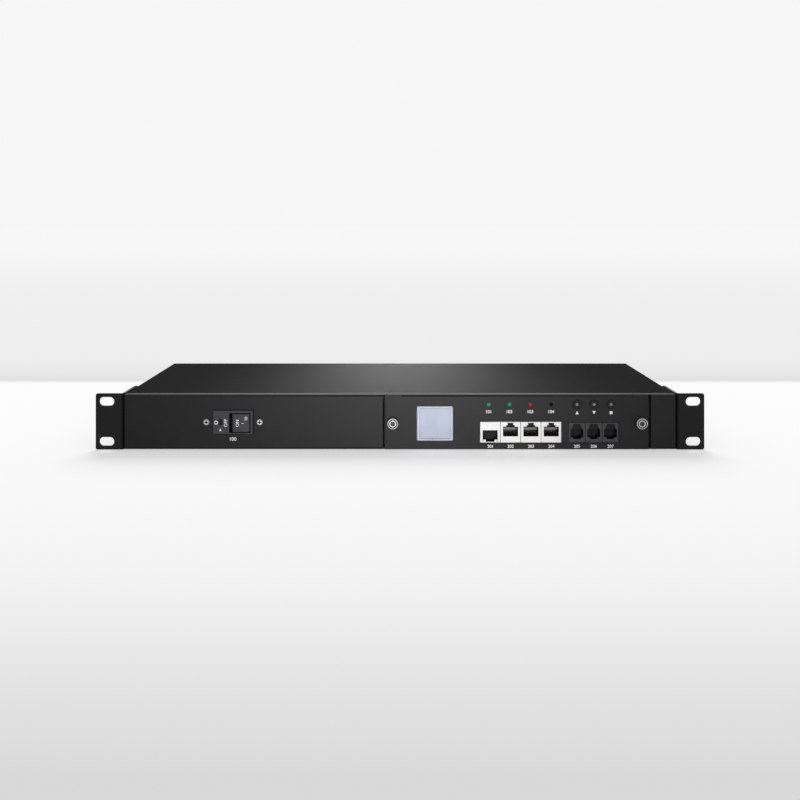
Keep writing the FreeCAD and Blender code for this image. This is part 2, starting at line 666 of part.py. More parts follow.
def breaker_terminals():
    """Line and load blades on the back of the breaker."""
    blades = []
    for side in (-1, 1):
        x = BREAKER_X + side * POLE_X
        blades.append(prism([(x - TAB_BLADE_W / 2, BREAKER_BACK), (x + TAB_BLADE_W / 2, BREAKER_BACK),
                             (x + TAB_BLADE_W / 2, BREAKER_BACK + BLADE_L, 1.2),
                             (x - TAB_BLADE_W / 2, BREAKER_BACK + BLADE_L, 1.2)], "XY",
                            BREAKER_Z - TAB_BLADE_T / 2, BREAKER_Z + TAB_BLADE_T / 2))
    return blades


def breaker_screws():
    """Two bright pan-head screws that hold the breaker behind the front wall."""
    return [pan_screw((BREAKER_X + side * BREAKER_SCREW_PITCH / 2, FRONT, BREAKER_Z), (0, -1, 0),
                      BREAKER_HEAD_R, BREAKER_HEAD_H, SCREW_R, BREAKER_SCREW_L) for side in (-1, 1)]


# Rear sockets

OUTLET_BODY_W = OUTLET_FLANGE_W - 2 * OUTLET_LIP
OUTLET_BODY_H = OUTLET_FLANGE_H - 2 * OUTLET_LIP
OUTLET_WELL_W = OUTLET_BODY_W - 2 * OUTLET_WALL
OUTLET_WELL_H = OUTLET_BODY_H - 2 * OUTLET_WALL
OUTLET_CORE_W = OUTLET_WELL_W - 2 * OUTLET_ROOM
OUTLET_CORE_H = OUTLET_WELL_H - 2 * OUTLET_ROOM
INLET_FLANGE_W = INLET_SCREW_PITCH + 2 * INLET_EAR
INLET_WELL_W = INLET_BODY_W - 2 * INLET_WALL
INLET_WELL_H = INLET_BODY_H - 2 * INLET_WALL
INLET_CORNER_R = 6.0
INLET_SCREW_L = 10.0
HEX_NUT_R = 3.0               # to its corners
HEX_NUT_H = 2.4
CORE_SHORT = 0.4              # core's face behind the flange's
SLOT_HOLE_W = 2.4
SLOT_HOLE_H = 4.6
LINE_Z = -1.4                 # line and neutral contacts below the middle
EARTH_Z = 2.0                 # earth contact above it
WELL_CHAMFER = 4.5
CORE_CHAMFER = 2.6
SOCKET_BACK = REAR - OUTLET_BODY_D
TAB_END = SOCKET_BACK - BUSBAR_GAP


def outlet_places():
    return [OUTLET_X0 + i * OUTLET_PITCH for i in range(OUTLET_COUNT)]


def keyed(x, width, height, chamfer):
    """A rectangle round x with its two upper corners cut off, so that a plug fits one way up."""
    w, h = width / 2, height / 2
    return [(x - w, -h, 0.8), (x + w, -h, 0.8), (x + w, h - chamfer), (x + w - chamfer, h),
            (x - w + chamfer, h), (x - w, h - chamfer)]


def contact_spots(x):
    """Line, earth and neutral contacts of a rear socket."""
    return ((x - PIN_PITCH, LINE_Z), (x, EARTH_Z), (x + PIN_PITCH, LINE_Z))


def outlet(x):
    """Appliance outlet: flange, snap-in body, and a core with three slots standing in a keyed well."""
    face = REAR + OUTLET_FLANGE_T
    flange = prism(rect(x, 0, OUTLET_FLANGE_W, OUTLET_FLANGE_H, 1.5), "XZ", REAR, face)
    rim = [e for e in flange.Edges if e.BoundBox.YMin > face - 1e-3]
    body = prism(rect(x, 0, OUTLET_BODY_W, OUTLET_BODY_H), "XZ", SOCKET_BACK, REAR)
    whole = join(flange.makeChamfer(0.6, rim), body)
    bottom, top = face - OUTLET_WELL_D, face - CORE_SHORT
    well = prism(keyed(x, OUTLET_WELL_W, OUTLET_WELL_H, WELL_CHAMFER), "XZ", bottom, face + 1)
    core = prism(keyed(x, OUTLET_CORE_W, OUTLET_CORE_H, CORE_CHAMFER), "XZ", bottom - 1, top)
    whole = whole.cut(well.cut(core))
    for slot_x, slot_z in contact_spots(x):
        slot = rect(slot_x, slot_z, SLOT_HOLE_W, SLOT_HOLE_H)
        whole = whole.cut(prism(slot, "XZ", bottom, face + 1))
    return whole


def outlets_left():
    return [outlet(x) for x in outlet_places()[:OUTLET_COUNT // 2]]


def outlets_right():
    return [outlet(x) for x in outlet_places()[OUTLET_COUNT // 2:]]


def inlet_housing():
    """Screw-on appliance inlet: rounded flange, body through the panel and a keyed well for the plug."""
    face = REAR + INLET_FLANGE_T
    flange = prism(rect(INLET_X, 0, INLET_FLANGE_W, INLET_FLANGE_H, INLET_CORNER_R), "XZ", REAR, face)
    rim = [e for e in flange.Edges if e.BoundBox.YMin > face - 1e-3]
    body = box(INLET_X - INLET_BODY_W / 2, INLET_X + INLET_BODY_W / 2, REAR - INLET_BODY_D, REAR,
               -INLET_BODY_H / 2, INLET_BODY_H / 2)
    whole = join(flange.makeChamfer(0.6, rim), body)
    whole = whole.cut(prism(keyed(INLET_X, INLET_WELL_W, INLET_WELL_H, WELL_CHAMFER), "XZ",
                            face - INLET_WELL_D, face + 1))
    for pin in inlet_pins():
        whole = whole.cut(pin)
    for side in (-1, 1):
        x = INLET_X + side * INLET_SCREW_PITCH / 2
        whole = whole.cut(countersink((x, face, 0), (0, 1, 0), SCREW_HEAD_R + FIT, SCREW_HEAD_H,
                                      SCREW_HOLE_R, INLET_SCREW_L + 1))
    return whole


def inlet_pins():
    """Line, earth and neutral pins with tapered tips, running back to the wiring tabs."""
    pins = []
    tip = REAR + INLET_FLANGE_T - 1.6
    for x, z in contact_spots(INLET_X):
        pin = box(x - PIN_T / 2, x + PIN_T / 2, TAB_END, tip, z - PIN_W / 2, z + PIN_W / 2)
        ends = [e for e in pin.Edges if e.BoundBox.YMin > tip - 1e-3]
        pins.append(pin.makeChamfer(0.6, ends))
    return pins


def inlet_screws():
    """Flush screws through the inlet's flange, each with its nut behind the panel."""
    screws = []
    for side in (-1, 1):
        x = INLET_X + side * INLET_SCREW_PITCH / 2
        screws.append(flat_screw((x, REAR + INLET_FLANGE_T, 0), (0, 1, 0), SCREW_HEAD_R, SCREW_HEAD_H,
                                 SCREW_R, INLET_SCREW_L))
        seat = REAR - SHEET
        nut = prism(hexagon(x, 0, HEX_NUT_R), "XZ", seat - HEX_NUT_H, seat)
        screws.append(nut.cut(y_hole(SCREW_R + FIT / 2, x, 0, seat - HEX_NUT_H - 1, REAR)))
    return screws


# Power wiring and metering

BAR_FRONT = TAB_END - BUSBAR_T
BAR_TAB_W = 4.0
BAR_RUN = 12.0                # bars past the first and last outlets
EARTH_BAR_RUN = 18.0          # earth bar's left end past the first outlet
BAR_JOINT = 3.0               # lead's end from the bar's end
FEED_TURN = 25.8              # feed lead's turn behind the breaker's blades
LOAD_LOW = 34.0               # load lead's rise, ahead of the sockets' tabs
LOAD_HIGH = 16.0
NEUTRAL_LOW = 24.0            # neutral lead's drop, ahead of the sockets' tabs
NEUTRAL_HIGH = 12.0
EARTH_DROP = 32.0             # earth lead's drop and rise, ahead of the sockets' tabs
EARTH_RISE = 20.0
EARTH_FOOT = 15.0             # end of the drop, behind the stud
EARTH_RUN = 16.0              # second earth lead, right of the stud
STUD_AHEAD = 61.0             # stud ahead of the sockets' tabs
STUD_X = INLET_X
STUD_Y = TAB_END - STUD_AHEAD
STUD_R = 2.0
STUD_FLANGE_R = 4.5
STUD_FLANGE_H = 1.0
STUD_L = 12.0
STUD_NUT_R = 4.0              # to its corners
STUD_NUT_H = 3.2
LUG_T = 0.8
LUG_R = 4.2
LUG_REACH = 11.0
LUG_CRIMP = 3.0
METER_X0 = BREAKER_X - METER_LEFT
METER_Y0 = BREAKER_BACK + METER_BEHIND
METER_TOP = FLOOR + STANDOFF_H + BOARD_T
METER_INSET = 5.0
METER_CORNER_R = 2.0
SENSOR_BACK = 26.0            # sensor behind the board's front edge
SENSOR_L = 10.0
SENSOR_R = 10.0
SENSOR_BORE_R = 5.0
SENSOR_FOOT_W = 16.0
SENSOR_FOOT_DROP = 6.0        # foot's top below the bore's middle
HEADER_INSET = 16.0           # from the board's right edge
HEADER_W = 5.0
HEADER_H = 5.0
HEADER_X = METER_X0 + METER_W - HEADER_INSET
SUPPLY_W = 42.0
SUPPLY_L = 24.0
SUPPLY_H = 18.0
SUPPLY_GAP = 1.0              # from the header
SUPPLY_INSET = 6.0            # from the board's back edge
BOARD_SCREW_HEAD_R = 2.6
BOARD_SCREW_HEAD_H = 1.6
BOARD_SCREW_L = 5.0
RIBBON_T = 1.0
RIBBON_W = 10.0
RIBBON_CLEAR = 3.0            # behind the edge socket
RIBBON_Y0 = BOARD_END + SOCKET_D + RIBBON_CLEAR
RIBBON_Y1 = RIBBON_Y0 + RIBBON_W
RIBBON_RISE = 2.5             # above the meter board
RIBBON_LIFT = 1.0             # above the floor
RIBBON_RUN = 17.0             # level part beside the header
RIBBON_SLOPE = 6.0
RIBBON_MITRE = 0.6            # upper face's bends past the lower face's
PLUG_START = 10.0             # right of the tongue's left side
PLUG_L = 20.0
PLUG_H = 6.0
PLUG_RIM = 1.0                # header and plug past the ribbon's edges


def tube(points, radius, bend_r):
    """A round lead through the points: straight runs joined by tangent arcs."""
    corners = [V(*p) for p in points]
    edges = []
    last = corners[0]
    for before, here, after in zip(corners, corners[1:], corners[2:]):
        back, ahead = before - here, after - here
        back.normalize()
        ahead.normalize()
        half = back.getAngle(ahead) / 2
        reach = bend_r / math.tan(half)
        middle = back + ahead
        middle.normalize()
        start, end = here + back * reach, here + ahead * reach
        edges.append(Part.LineSegment(last, start).toShape())
        top = here + middle * (bend_r / math.sin(half) - bend_r)
        edges.append(Part.Arc(start, top, end).toShape())
        last = end
    edges.append(Part.LineSegment(last, corners[-1]).toShape())
    path = Part.Wire(edges)
    section = Part.Wire([Part.makeCircle(radius, corners[0], corners[1] - corners[0])])
    return path.makePipeShell([section], True, True)


def busbar(order, run):
    """One flat bar behind the outlets, with a tab to the same contact of each outlet."""
    z = (1 - order) * BUSBAR_SPACING
    places = outlet_places()
    tall, thick, half = BUSBAR_H / 2, BUSBAR_T / 2, BAR_TAB_W / 2
    bar = box(places[0] - run, places[-1] + BAR_RUN, BAR_FRONT, TAB_END, z - tall, z + tall)
    tabs = []
    for place in places:
        x = place + (order - 1) * PIN_PITCH
        tabs.append(box(x - half, x + half, TAB_END, SOCKET_BACK, z - thick, z + thick))
    return join(bar, *tabs)


def live_busbar():
    return busbar(0, BAR_RUN)


def earth_busbar():
    return busbar(1, EARTH_BAR_RUN)


def neutral_busbar():
    return busbar(2, BAR_RUN)


def live_leads():
    """Inlet to breaker, and breaker through the current sensor to the live bar."""
    pin, line, load = INLET_X - PIN_PITCH, BREAKER_X - POLE_X, BREAKER_X + POLE_X
    end = BREAKER_BACK + BLADE_L
    turn = end + FEED_TURN
    first = tube([(pin, TAB_END, LINE_Z), (pin, turn, LINE_Z), (line, turn, BREAKER_Z),
                  (line, end, BREAKER_Z)], LEAD_R, LEAD_BEND_R)
    second = tube([(load, end, BREAKER_Z), (load, TAB_END - LOAD_LOW, BREAKER_Z),
                   (load, TAB_END - LOAD_HIGH, BUSBAR_SPACING), (load, BAR_FRONT, BUSBAR_SPACING)],
                  LEAD_R, LEAD_BEND_R)
    return [first, second]


def neutral_lead():
    """Inlet to the left end of the neutral bar."""
    x, end = INLET_X + PIN_PITCH, OUTLET_X0 - BAR_RUN + BAR_JOINT
    cross, low = TAB_END - NEUTRAL_LOW, -BUSBAR_SPACING
    return tube([(x, TAB_END, LINE_Z), (x, TAB_END - NEUTRAL_HIGH, LINE_Z), (x, cross, low),
                 (end, cross, low), (end, BAR_FRONT, low)], LEAD_R, LEAD_BEND_R)


def lug(x, y, z):
    """A ring terminal on the earth stud, with its crimp barrel towards x, y."""
    ring = rod(LUG_R, (STUD_X, STUD_Y, z), (STUD_X, STUD_Y, z + LUG_T))
    span = V(x - STUD_X, y - STUD_Y, 0)
    side = V(-span.y, span.x, 0).normalize() * LEAD_R
    foot, head = V(STUD_X, STUD_Y, z), V(x, y, z)
    wire = Part.makePolygon([foot + side, head + side, head - side, foot - side, foot + side])
    plate = Part.Face(wire).extrude(V(0, 0, LUG_T))
    return join(ring, plate).cut(rod(STUD_R + FIT, (STUD_X, STUD_Y, z - 1), (STUD_X, STUD_Y, z + 2)))


def earth_lead():
    """Inlet to the earth stud, and stud to the left end of the earth bar."""
    z = FLOOR + STUD_FLANGE_H
    up = z + LUG_T / 2 + LEAD_R
    crimp = LUG_REACH - LUG_CRIMP
    first = tube([(STUD_X, TAB_END, EARTH_Z), (STUD_X, TAB_END - EARTH_DROP, EARTH_Z),
                  (STUD_X, STUD_Y + EARTH_FOOT, up), (STUD_X, STUD_Y + crimp, up)], LEAD_R, EARTH_BEND_R)
    run, end = STUD_X + EARTH_RUN, OUTLET_X0 - EARTH_BAR_RUN + BAR_JOINT
    above = up + LUG_T
    second = tube([(STUD_X + crimp, STUD_Y, above), (run, STUD_Y, above), (run, TAB_END - EARTH_RISE, above),
                   (end, TAB_END - NEUTRAL_HIGH, 0), (end, BAR_FRONT, 0)], LEAD_R, EARTH_BEND_R)
    lower, upper = lug(STUD_X, STUD_Y + LUG_REACH, z), lug(STUD_X + LUG_REACH, STUD_Y, z + LUG_T)
    return [join(lower, first), join(upper, second)]


def earth_stud():
    """Weld stud on the floor, with its nut over the two ring terminals."""
    stud = turned([(STUD_FLANGE_R, 0), (STUD_FLANGE_R, STUD_FLANGE_H), (STUD_R, STUD_FLANGE_H),
                   (STUD_R, STUD_L - 0.5), (STUD_R - 0.5, STUD_L)], (STUD_X, STUD_Y, FLOOR), (0, 0, 1))
    low = FLOOR + STUD_FLANGE_H + 2 * LUG_T
    high = low + STUD_NUT_H
    nut = prism(hexagon(STUD_X, STUD_Y, STUD_NUT_R), "XY", low, high)
    return [stud, nut.cut(rod(STUD_R + FIT / 2, (STUD_X, STUD_Y, low - 1), (STUD_X, STUD_Y, high + 1)))]


def meter_spots():
    """The meter board's four fixings."""
    xs = (METER_X0 + METER_INSET, METER_X0 + METER_W - METER_INSET)
    ys = (METER_Y0 + METER_INSET, METER_Y0 + METER_L - METER_INSET)
    return [(x, y) for x in xs for y in ys]


def meter_board():
    """Metering board on four pillars, behind the breaker."""
    low = METER_TOP - BOARD_T
    corners = rect(METER_X0 + METER_W / 2, METER_Y0 + METER_L / 2, METER_W, METER_L, METER_CORNER_R)
    board = prism(corners, "XY", low, METER_TOP)
    for x, y in meter_spots():
        board = board.cut(rod(SCREW_HOLE_R, (x, y, low - 1), (x, y, METER_TOP + 1)))
    return board


def board_fixings():
    """Four tapped pillars from the floor to the meter board, each with its screw."""
    fixings = []
    for x, y in meter_spots():
        pillar = rod(STANDOFF_R, (x, y, FLOOR), (x, y, METER_TOP - BOARD_T))
        fixings.append(pillar.cut(rod(SCREW_HOLE_R, (x, y, FLOOR + 1), (x, y, METER_TOP))))
        fixings.append(pan_screw((x, y, METER_TOP), (0, 0, 1), BOARD_SCREW_HEAD_R, BOARD_SCREW_HEAD_H,
                                 SCREW_R, BOARD_SCREW_L))
    return fixings


def current_transformer():
    """Ring sensor on a foot, with the live lead through its bore."""
    x, z = BREAKER_X + POLE_X, BREAKER_Z
    y0, half = METER_Y0 + SENSOR_BACK, SENSOR_FOOT_W / 2
    y1 = y0 + SENSOR_L
    ring = y_hole(SENSOR_R, x, z, y0, y1)
    foot = box(x - half, x + half, y0, y1, METER_TOP, z - SENSOR_FOOT_DROP)
    sensor = join(ring, foot).cut(y_hole(SENSOR_BORE_R, x, z, y0 - 1, y1 + 1))
    rims = [e for e in sensor.Edges if e.BoundBox.YLength < 1e-3 and e.BoundBox.ZMax > z + SENSOR_BORE_R + 1]
    return sensor.makeChamfer(0.8, rims)


def supply_module():
    """Sealed supply block for the electronics."""
    x = HEADER_X - SUPPLY_GAP - SUPPLY_W / 2
    y = METER_Y0 + METER_L - SUPPLY_INSET - SUPPLY_L / 2
    high = METER_TOP + SUPPLY_H
    block = prism(rect(x, y, SUPPLY_W, SUPPLY_L, 1.0), "XY", METER_TOP, high)
    return block.makeChamfer(0.6, [e for e in block.Edges if e.BoundBox.ZMin > high - 1e-3])


def ribbon_cable():
    """Flat cable from the meter board's header, along the floor to the module's edge socket."""
    y0, y1 = RIBBON_Y0 - PLUG_RIM, RIBBON_Y1 + PLUG_RIM
    x0, x1 = HEADER_X + HEADER_W, TONGUE_X0 + PLUG_START
    header = box(HEADER_X, x0, y0, y1, METER_TOP, METER_TOP + HEADER_H)
    high, low = METER_TOP + RIBBON_RISE, FLOOR + RIBBON_LIFT
    fall, foot = x0 + RIBBON_RUN, x0 + RIBBON_RUN + RIBBON_SLOPE
    flat = prism([(x0, high), (fall, high, 1), (foot, low, 1), (x1, low), (x1, low + RIBBON_T),
                  (foot + RIBBON_MITRE, low + RIBBON_T, 1), (fall + RIBBON_MITRE, high + RIBBON_T, 1),
                  (x0, high + RIBBON_T)], "XZ", RIBBON_Y0, RIBBON_Y1)
    plug = box(x1, x1 + PLUG_L, BOARD_END + SOCKET_D, y1, FLOOR, FLOOR + PLUG_H)
    return join(header, flat, plug)


# Control module

BRACKET_GAP = 4.0             # left angle from the display
BRACKET_W = 11.0
END_BRACKET_GAP = 5.45        # right angle from the last jack
END_BRACKET_W = 7.0
BRACKET_X0 = DISPLAY_X + DISPLAY_W / 2 + BRACKET_GAP
BRACKET_X1 = RJ11_LAST + RJ11_W / 2 + END_BRACKET_GAP
BRACKETS = ((BRACKET_X0, BRACKET_X0 + BRACKET_W), (BRACKET_X1, BRACKET_X1 + END_BRACKET_W))
BRACKET_T = 1.0
BRACKET_L = 14.0              # horizontal leg's end behind the front plane
BRACKET_H = 12.8
MODULE_SCREW_Y = 9.5
MODULE_SCREW_L = 3.0
BOARD_START = 3.0             # board's front edge behind the front plane
DISH_DEPTH = 0.7              # round each key
JACK_WINDOW = 0.4             # round the jacks' housings
LED_W = 2.2
LED_H = 1.7
LED_L = 4.0
LED_X = 5.8                   # each side of the latch-down jack's middle
LED_RISE = 0.5
LATCH_W = 7.0                 # latch's room below or above a wide mouth
LATCH_RISE = 0.6
LATCH_STEP_W = 6.9
LATCH_STEP_H = 1.2
LATCH_TOP_W = 4.5
LATCH_TOP_WALL = 0.7
PHONE_LATCH_W = 6.0
PHONE_LATCH_H = 1.4
PHONE_KEY_W0 = 9.0            # tapered key above a narrow mouth
PHONE_KEY_W1 = 5.2
PHONE_KEY_WALL = 0.9
PHONE_KEY_D = 3.0
LCD_D = 4.8
LCD_W = DISPLAY_W + 2 * LCD_OVER_X
LCD_H = DISPLAY_H + 2 * LCD_OVER_Z
LCD_FOOT_W = 4.0
LCD_FOOT_X = 10.0             # each foot from the display's middle
STEM_INSET = 1.1              # stem inside the display's frame
STEM_W = DISPLAY_W - 2 * STEM_INSET
STEM_H = DISPLAY_H - 2 * STEM_INSET
GLASS_W = DISPLAY_W - 4.1
GLASS_H = DISPLAY_H - 3.4
GLASS_GAP = 0.2
LEG_GAP = 1.0                 # indicator board's legs from the jacks
LEG_W = 3.5
INDICATOR_CLEAR = 2.4         # its lower edge above the jacks
INDICATOR_DROP = 2.0          # its upper edge below the cover
LAMP_BASE_L = 1.8
LAMP_BASE_RIM = 0.4
KEYS = ("up", "down", "control")


def rj45_places():
    return [RJ45_X0 + i * RJ45_PITCH for i in range(RJ45_COUNT)]


def rj11_places():
    return [RJ11_X0 + i * RJ11_PITCH for i in range(RJ11_COUNT)]


def lamp_places():
    return [LAMP_X0 + i * LAMP_PITCH for i in range(3)]


def key_places():
    return [KEY_X0 + i * KEY_PITCH for i in range(len(KEYS))]


def module_panel():
    """Front panel with side lips, a top lip, and openings for jacks, display, lamps, keys and screws."""
    end = FRONT + LIP_L
    inner_left, inner_right = BAY_X0 + SHEET, BAY_X1 - SHEET
    lip_low, lip_high = BOTTOM + LIP_LOW, TOP - LIP_HIGH
    face = prism([(BAY_X0, end), (BAY_X0, FRONT, BEND_OUT), (BAY_X1, FRONT, BEND_OUT), (BAY_X1, end),
                  (inner_right, end), (inner_right, PANEL_BACK, BEND_R), (inner_left, PANEL_BACK, BEND_R),
                  (inner_left, end)], "XY", lip_low, lip_high)
    left, right = BAY_X0 + CORNER_RELIEF, BAY_X1 - CORNER_RELIEF
    low, high = BOTTOM + 2 * FIT, CEIL - FIT
    low_band = prism([(left, low), (right, low), (right, lip_low), (left, lip_low)], "XZ", FRONT, PANEL_BACK)
    top_band = prism([(left, lip_high), (right, lip_high), (right, high, 0.8), (left, high, 0.8)],
                     "XZ", FRONT, PANEL_BACK)
    x0, x1 = BAY_X0 + TOP_LIP_LEFT, BAY_X1 - TOP_LIP_RIGHT
    fold = 2 * BEND_OUT
    lip = prism([(FRONT, high, BEND_OUT), (FRONT + TOP_LIP_L, high), (FRONT + TOP_LIP_L, high - SHEET),
                 (PANEL_BACK, high - SHEET, BEND_R), (PANEL_BACK, high - fold), (FRONT, high - fold)],
                "YZ", x0, x1)
    outside = prism([(FRONT, high, BEND_OUT), (FRONT + fold, high), (FRONT + fold, high - fold),
                     (FRONT, high - fold)], "YZ", x0, x1)
    corner = box(x0, x1, FRONT, FRONT + fold - FIT, high - fold + FIT, high + 1).cut(outside)
    panel = join(face, low_band, top_band, lip).cut(corner)
    for places, width, height in ((rj45_places(), RJ45_W, RJ45_H), (rj11_places(), RJ11_W, RJ11_H)):
        x0, x1 = places[0] - width / 2 - JACK_WINDOW, places[-1] + width / 2 + JACK_WINDOW
        panel = panel.cut(box(x0, x1, FRONT - 1, PANEL_BACK + 1, BOARD_TOP - JACK_WINDOW,
                              BOARD_TOP + height + JACK_WINDOW))
    stem = rect(DISPLAY_X, DISPLAY_Z, STEM_W + 4 * FIT, STEM_H + 4 * FIT)
    panel = panel.cut(prism(stem, "XZ", FRONT - 1, PANEL_BACK + 1))
    for x in lamp_places():
        panel = panel.cut(y_hole(LAMP_R, x, ROW_Z, FRONT - 1, PANEL_BACK + 1))
    panel = panel.cut(y_hole(RESET_R, RESET_X, ROW_Z, FRONT - 1, PANEL_BACK + 1))
    hole = KEY_R + SEAT
    for x in key_places():
        dish = [(KEY_DISH_R, FRONT - 1), (KEY_DISH_R, FRONT), (hole + SEAT, FRONT + DISH_DEPTH),
                (hole, FRONT + DISH_DEPTH), (hole, PANEL_BACK + 1)]
        panel = panel.cut(along_y(dish, x, ROW_Z))
    for x in (CAPTIVE_X0, CAPTIVE_X1):
        panel = panel.cut(y_hole(COLLAR_R, x, CAPTIVE_Z, FRONT - 1, PANEL_BACK + 1))
    return panel


def control_board():
    """Circuit board on the guides, with a tongue at the back for the edge socket."""
    edge = WALL_X + SHEET + GUIDE_WALL + BOARD_X_GAP
    x0, x1, y0 = edge, 2 * BAY_MID - edge, FRONT + BOARD_START
    tongue_x1, tip = TONGUE_X0 + TONGUE_W, BOARD_END + TONGUE_L
    board = prism([(x0, y0, 1), (x1, y0, 1), (x1, BOARD_END, 1.5), (tongue_x1, BOARD_END),
                   (tongue_x1, tip, 0.8), (TONGUE_X0, tip, 0.8), (TONGUE_X0, BOARD_END),
                   (x0, BOARD_END, 1.5)], "XY", BOARD_BOTTOM, BOARD_TOP)
    for b0, b1 in BRACKETS:
        x, y = (b0 + b1) / 2, FRONT + MODULE_SCREW_Y
        board = board.cut(rod(SCREW_HOLE_R, (x, y, BOARD_BOTTOM - 1), (x, y, BOARD_TOP + 1)))
    return board


def board_brackets():
    """Two angles from the panel's back to the top of the control board."""
    angles = []
    for x0, x1 in BRACKETS:
        y0, y1, top, high = PANEL_BACK, FRONT + BRACKET_L, BOARD_TOP + BRACKET_T, BOARD_TOP + BRACKET_H
        angle = prism([(y0, BOARD_TOP, 1.4), (y1, BOARD_TOP), (y1, top), (y0 + BRACKET_T, top, 0.4),
                       (y0 + BRACKET_T, high), (y0, high)], "YZ", x0, x1)
        x, y = (x0 + x1) / 2, FRONT + MODULE_SCREW_Y
        angles.append(angle.cut(rod(SCREW_HOLE_R, (x, y, BOARD_TOP - 1), (x, y, top + 1))))
    return angles


def module_screws():
    """Screws down through the angles and the board."""
    y, z = FRONT + MODULE_SCREW_Y, BOARD_TOP + BRACKET_T
    return [pan_screw(((x0 + x1) / 2, y, z), (0, 0, 1), BOARD_SCREW_HEAD_R, BOARD_SCREW_HEAD_H,
                      SCREW_R, MODULE_SCREW_L) for x0, x1 in BRACKETS]


def jack(x, width, height, depth, mouths):
    """A jack's housing on the control board, with the given openings cut from its face."""
    face = FRONT + JACK_SET_BACK
    body = box(x - width / 2, x + width / 2, face, face + depth, BOARD_TOP, BOARD_TOP + height)
    for corners, deep in mouths:
        body = body.cut(prism([(x + u, v) for u, v in corners], "XZ", face - 1, face + deep))
    rim = [e for e in body.Edges if e.BoundBox.YMax < face + 1e-3 and e.Length > min(width, height) - 1e-3]
    return body.makeChamfer(0.25, rim)


def span(width, low, high):
    """Corners of a rectangle about the jack's middle."""
    half = width / 2
    return [(-half, low), (half, low), (half, high), (-half, high)]


NET_MOUTH = (BOARD_TOP + NET_MOUTH_Z, BOARD_TOP + NET_MOUTH_Z + NET_MOUTH_H)
LINK_MOUTH = (BOARD_TOP + LINK_MOUTH_Z, BOARD_TOP + LINK_MOUTH_Z + LINK_MOUTH_H)
PHONE_MOUTH = (BOARD_TOP + PHONE_MOUTH_Z, BOARD_TOP + PHONE_MOUTH_Z + PHONE_MOUTH_H)
RJ45_MOUTH_W = RJ45_W - 2 * RJ45_RIM
RJ11_MOUTH_W = RJ11_W - 2 * RJ11_RIM


def net_jack():
    """Latch-down jack with two lamp pockets in its lower corners."""
    low, high = NET_MOUTH
    latch = span(LATCH_W, BOARD_TOP + LATCH_RISE, high)
    mouths = [(span(RJ45_MOUTH_W, low, high), MOUTH_DEPTH), (latch, MOUTH_DEPTH)]
    body = jack(RJ45_X0, RJ45_W, RJ45_H, RJ45_D, mouths)
    for lamp in net_lamps():
        body = body.cut(lamp)
    return body


def net_lamps():
    """Two small lamps in the lower corners of the latch-down jack."""
    lamps = []
    face, low = FRONT + JACK_SET_BACK, BOARD_TOP + LED_RISE
    for side in (-1, 1):
        x = RJ45_X0 + side * LED_X
        lamps.append(box(x - LED_W / 2, x + LED_W / 2, face, face + LED_L, low, low + LED_H))
    return lamps


def latch_up_jack(order):
    """Latch-up jack: mouth with two steps of room for the latch above it."""
    low, high = LINK_MOUTH
    step, top = high + LATCH_STEP_H, BOARD_TOP + RJ45_H - LATCH_TOP_WALL
    mouths = [(span(RJ45_MOUTH_W, low, high), MOUTH_DEPTH),
              (span(LATCH_STEP_W, high - FIT, step), MOUTH_DEPTH),
              (span(LATCH_TOP_W, step - FIT, top), MOUTH_DEPTH)]
    return jack(rj45_places()[order], RJ45_W, RJ45_H, RJ45_D, mouths)


def serial_jack():
    return latch_up_jack(1)


def link_in_jack():
    return latch_up_jack(2)


def link_out_jack():
    return latch_up_jack(3)


def phone_jack(order):
    """Narrow jack: mouth, lower latch slot and a tapered key above."""
    low, high = PHONE_MOUTH
    top, wide, narrow = BOARD_TOP + RJ11_H - PHONE_KEY_WALL, PHONE_KEY_W0 / 2, PHONE_KEY_W1 / 2
    key = [(-wide, high - FIT), (wide, high - FIT), (narrow, top), (-narrow, top)]
    latch = span(PHONE_LATCH_W, low - PHONE_LATCH_H, low + FIT)
    mouths = [(span(RJ11_MOUTH_W, low, high), MOUTH_DEPTH), (latch, MOUTH_DEPTH), (key, PHONE_KEY_D)]
    return jack(rj11_places()[order], RJ11_W, RJ11_H, RJ11_D, mouths)


def sensor_jack_1():
    return phone_jack(0)


def sensor_jack_2():
    return phone_jack(1)


def alarm_jack():
    return phone_jack(2)


def contact_comb(x, count, root, drop):
    """Springy contacts slanting back from the roof or floor of a jack's mouth."""
    y0, y1 = FRONT + JACK_SET_BACK + 2.5, FRONT + JACK_SET_BACK + MOUTH_DEPTH
    wires = []
    for i in range(count):
        left = x + (i - (count - 1) / 2) * CONTACT_PITCH - CONTACT_T / 2
        profile = [(y0, root), (y0 + 2 * CONTACT_T, root), (y1, root + drop), (y1, root + drop * 1.2)]
        wires.append(prism(profile, "YZ", left, left + CONTACT_T))
    return wires


def jack_contacts():
    """Gold contacts in every jack."""
    wires = contact_comb(RJ45_X0, 8, NET_MOUTH[1], -2.6)
    for x in rj45_places()[1:]:
        wires += contact_comb(x, 8, LINK_MOUTH[0], 2.6)
    for x in rj11_places():
        wires += contact_comb(x, 4, PHONE_MOUTH[1], -1.6)
    return wires


